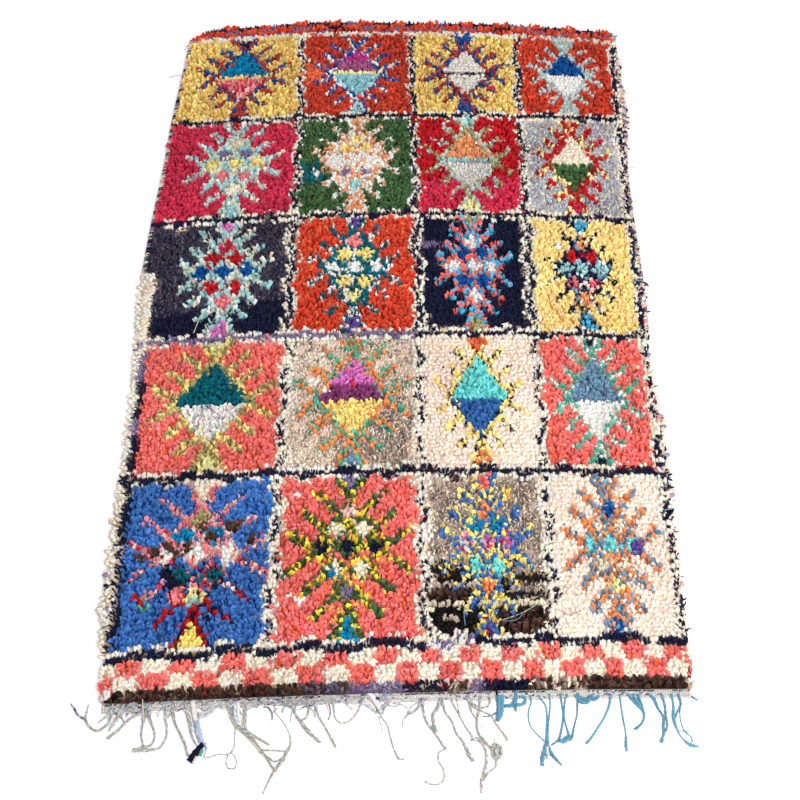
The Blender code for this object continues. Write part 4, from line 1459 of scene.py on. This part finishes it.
def makeFringe():
    # All the ends, and the short curled ones over the ragged part of the band
    tubes = []
    for kind, places in fringeEnds:
        tubes += fringeStrand(kind, places)
    c = curls
    for number in range(c["count"]):
        x = random.uniform(*c["across"])
        back = bandBack(x)
        y = back - random.uniform(*c["inFront"])
        turn = random.choice([0.0, math.pi]) + c["turnSpread"] * random.normal()
        step = c["length"] * random.uniform(*c["lengthShares"]) / c["points"]
        t = np.linspace(0, 1, c["points"])
        heading = turn + random.uniform(*c["bend"]) * t
        half = random.uniform(*c["half"]) * (1 - c["taper"] * t)
        lift = band["thick"] * (y + band["depth"] > back) + c["arch"] * np.sin(math.pi * t) * random.random()
        along = np.minimum(y + np.cumsum(np.sin(heading)) * step, back - c["clear"])
        path = np.column_stack([x + np.cumsum(np.cos(heading)) * step, along, half * c["over"] + lift])
        names = fringeTones[c["yarns"][number % len(c["yarns"])]]
        first, second = (linear(palette[name][:3]) * random.uniform(*c["shade"]) for name in names[:2])
        tubes.append(yarnTube(path, half, half, c["sides"], fringe["ply"], first, second))
    arrays = joinTubes(tubes)
    print("warp_fringe ends", len(fringeEnds) + c["count"], "triangles", int((arrays[2] - 2).sum()))
    return meshPiece("warp_fringe", yarnMaterial("warpYarn"), *arrays)


# Overcast yarn round the side edges: stretches along each side, and the yarns that it takes by turns
overcast = {
    "pitch": 0.0072,
    "radius": 0.0021,
    "radiusShares": (0.85, 1.2),
    "stretches": [           # side, from y, to y
        (-1, 0.160, 1.135),
        (1, -0.060, 1.150),
    ],
    "turn": (-0.5, 1.05),    # a wrap's way round the edge, in half turns
    "points": 8,
    "lean": 0.0035,
    "leanSpread": 0.001,
    "wrap": (0.0062, -0.0030),       # the half ellipse's reach and middle outwards, then upwards
    "wrapUp": (0.0050, 0.0072),
    "lowest": 0.0030,
    "runs": (3, 2.5, 0.35),  # yarns change every three wraps or so
    "shade": (0.85, 1.1),
    "sides": 5,
    "ply": 0.012,
    "secondDarker": 0.8,
    "yarns": ["mist", "lilac", "navy", "linen", "tealDark", "mistRose", "mistLight", "brown"],
    "spareYarns": ["blush", "linen", "lilac", "cream", "mistRose", "navy"],
}


def makeOvercast():
    # Each wrap goes from the pile's rim round the edge to the underside: half an ellipse in the upright plane
    o, tubes = overcast, []
    angle = math.pi * np.linspace(*o["turn"], o["points"])
    (outReach, outMiddle), (upReach, upMiddle) = o["wrap"], o["wrapUp"]
    every, reach, rate = o["runs"]
    for side, start, stop in o["stretches"]:
        names = o["yarns"] if side < 0 else o["spareYarns"]
        for number, y in enumerate(np.arange(start, stop, o["pitch"])):
            edge = sidesAt(np.array([y]))[(side + 1) // 2][0]
            name = names[int(number / every + reach * math.sin(number * rate)) % len(names)]
            lean = o["lean"] * np.linspace(-1, 1, o["points"]) + o["leanSpread"] * random.normal()
            x = edge + side * (outReach * np.cos(angle) + outMiddle)
            z = upMiddle + upReach * np.sin(angle)
            radius = np.full(o["points"], o["radius"] * random.uniform(*o["radiusShares"]))
            first = linear(palette[name][:3]) * random.uniform(*o["shade"])
            path = np.column_stack([x, y + lean, np.maximum(z, o["lowest"])])
            second = first * o["secondDarker"]
            tubes.append(yarnTube(path, radius, radius, o["sides"], o["ply"], first, second))
    return meshPiece("edge_overcast", yarnMaterial("overcastYarn"), *joinTubes(tubes))


# Loose threads on the pile and at the edges: places, height, radius and yarn
threads = [
    ([(-0.748, 0.975), (-0.770, 0.968), (-0.792, 0.962)], 0.008, 0.0009, "lilac"),
    ([(-0.730, 1.120), (-0.742, 1.108), (-0.750, 1.090)], 0.010, 0.0009, "lilac"),
    ([(-0.600, 0.300), (-0.590, 0.270), (-0.595, 0.230)], 0.017, 0.0010, "chalk"),
    ([(-0.585, 0.010), (-0.600, -0.030), (-0.612, -0.075)], 0.017, 0.0010, "chalk"),
    ([(0.168, -0.905), (0.166, -0.935), (0.168, -0.962)], 0.017, 0.0012, "slate"),
    ([(0.262, -0.948), (0.292, -0.938), (0.322, -0.926), (0.352, -0.908)], 0.017, 0.0011, "paleAqua"),
    ([(0.262, -0.948), (0.290, -0.950), (0.306, -0.944), (0.322, -0.926)], 0.018, 0.0011, "slate"),
    ([(0.420, -0.920), (0.432, -0.934), (0.452, -0.930), (0.470, -0.922)], 0.017, 0.0008, "lilac"),
    ([(0.512, -0.905), (0.526, -0.925), (0.540, -0.952)], 0.017, 0.0009, "lilac"),
    ([(-0.660, -1.110), (-0.646, -1.130), (-0.641, -1.160), (-0.634, -1.200)], 0.014, 0.0014, "linen"),
    ([(-0.670, -1.108), (-0.656, -1.116), (-0.650, -1.130)], 0.015, 0.0010, "linen"),
    ([(0.705, 0.125), (0.735, 0.120), (0.752, 0.128), (0.768, 0.124)], 0.013, 0.0012, "mistRose"),
    ([(0.720, 0.112), (0.738, 0.110), (0.752, 0.104), (0.756, 0.096)], 0.013, 0.0024, "brown"),
    ([(0.715, 0.118), (0.728, 0.114), (0.742, 0.118)], 0.014, 0.0026, "slate"),
    ([(-0.752, -0.690), (-0.772, -0.684), (-0.790, -0.676)], 0.012, 0.0011, "brown"),
    ([(-0.735, -0.860), (-0.750, -0.850), (-0.766, -0.856), (-0.776, -0.866)], 0.014, 0.0014, "navy"),
    ([(-0.735, -0.935), (-0.750, -0.930), (-0.762, -0.942)], 0.014, 0.0013, "navy"),
    ([(-0.738, -0.965), (-0.752, -0.962), (-0.770, -0.968)], 0.014, 0.0013, "navy"),
    ([(-0.745, -0.705), (-0.760, -0.735), (-0.775, -0.728)], 0.014, 0.0012, "olive"),
    ([(0.716, -0.905), (0.730, -0.902), (0.744, -0.906)], 0.014, 0.0011, "navy"),
    ([(0.712, -0.955), (0.722, -0.968), (0.738, -0.972), (0.752, -0.968)], 0.014, 0.0016, "black"),
    ([(0.716, -0.640), (0.730, -0.638), (0.742, -0.636)], 0.014, 0.0018, "slate"),
    ([(0.735, 0.900), (0.748, 0.904), (0.760, 0.900)], 0.010, 0.0008, "rose"),
    ([(0.742, 0.560), (0.756, 0.563), (0.764, 0.560)], 0.010, 0.0008, "rose"),
    ([(0.735, 1.175), (0.748, 1.182), (0.754, 1.192)], 0.014, 0.0010, "paleAqua"),
]


threadMake = {
    "step": 0.004,
    "arch": 0.0012,
    "sides": 6,
    "ply": 0.010,
    "secondDarker": 0.85,
}


def makeThreads():
    # A thin yarn along each route, a little higher in the middle
    m, tubes = threadMake, []
    for places, height, radius, name in threads:
        route, walked = routeThrough(places, m["step"])
        path = np.column_stack([route, height + m["arch"] * np.sin(math.pi * (walked / walked[-1]))])
        tone = linear(palette[name][:3])
        half = np.full(len(path), radius)
        tubes.append(yarnTube(path, half, half, m["sides"], m["ply"], tone, tone * m["secondDarker"]))
    return meshPiece("loose_threads", yarnMaterial("looseThread"), *joinTubes(tubes))


# The floor, the lights and the camera. Turns are in degrees.
stage = {
    "floorSize": 30.0,
    "floorDown": 0.0002,
    "floorTone": (0.88, 0.88, 0.88, 1.0),
    "floorRough": 0.9,
    "skyTone": (1.0, 1.0, 1.0, 1.0),
    "skyStrength": 0.74,
    "lights": [              # name, place, turn, size and power
        ("keyLight", (1.7, -1.7, 2.8), (30, 29, 0), 2.4, 132.0),
        ("skyLight", (-1.4, 0.9, 3.4), (-14, -22, 0), 2.6, 30.0),
    ],
    "cameraPlace": (0.0, -1.79, 2.76),
    "cameraTurn": (28.5, 0, 0),
    "lens": 49.0,            # millimetres, and the sensor's width
    "sensor": 36.0,
}


def putInScene(name, data, location, turn):
    # A light or camera at its place, turned in degrees about x, y and z.
    made = bpy.data.objects.new(name, data)
    made.location = location
    made.rotation_euler = [math.radians(angle) for angle in turn]
    bpy.context.scene.collection.objects.link(made)
    return made


def makeStage():
    # A pale floor, soft studio light, and the camera over the fringe end, looking down.
    bpy.ops.mesh.primitive_plane_add(size=stage["floorSize"], location=(0.0, 0.0, -stage["floorDown"]))
    floor = bpy.context.object
    floor.name = "floor"
    paint = bpy.data.materials.new("paleFloor")
    paint.use_nodes = True
    paint.node_tree.nodes["Principled BSDF"].inputs["Base Color"].default_value = stage["floorTone"]
    paint.node_tree.nodes["Principled BSDF"].inputs["Roughness"].default_value = stage["floorRough"]
    floor.data.materials.append(paint)
    world = bpy.data.worlds.new("studio")
    world.use_nodes = True
    world.node_tree.nodes["Background"].inputs["Color"].default_value = stage["skyTone"]
    world.node_tree.nodes["Background"].inputs["Strength"].default_value = stage["skyStrength"]
    bpy.context.scene.world = world
    for name, location, turn, size, power in stage["lights"]:
        light = bpy.data.lights.new(name, "AREA")
        light.size = size
        light.energy = power
        putInScene(name, light, location, turn)
    lens = bpy.data.cameras.new("camera")
    lens.lens = stage["lens"]
    lens.sensor_width = stage["sensor"]
    bpy.context.scene.camera = putInScene("camera", lens, stage["cameraPlace"], stage["cameraTurn"])
    bpy.context.scene.view_settings.view_transform = "Standard"


makeStage()
pilePieces = makePile()
groundPiece = makeGround()
bandPiece = makeBand()
endPieces = [bandPiece, makeTwining(), makeFringe()]
edgePieces = [makeOvercast(), makeThreads()]
print("pieces made")

for piece in pilePieces + edgePieces + [groundPiece]:
    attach(piece, "root")
for piece in endPieces:
    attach(piece, "root")
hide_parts("pile_field")
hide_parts("end_fringe")
allPieces = pilePieces + endPieces + edgePieces + [groundPiece]
print("triangles in all", sum(len(face.vertices) - 2 for piece in allPieces for face in piece.data.polygons))
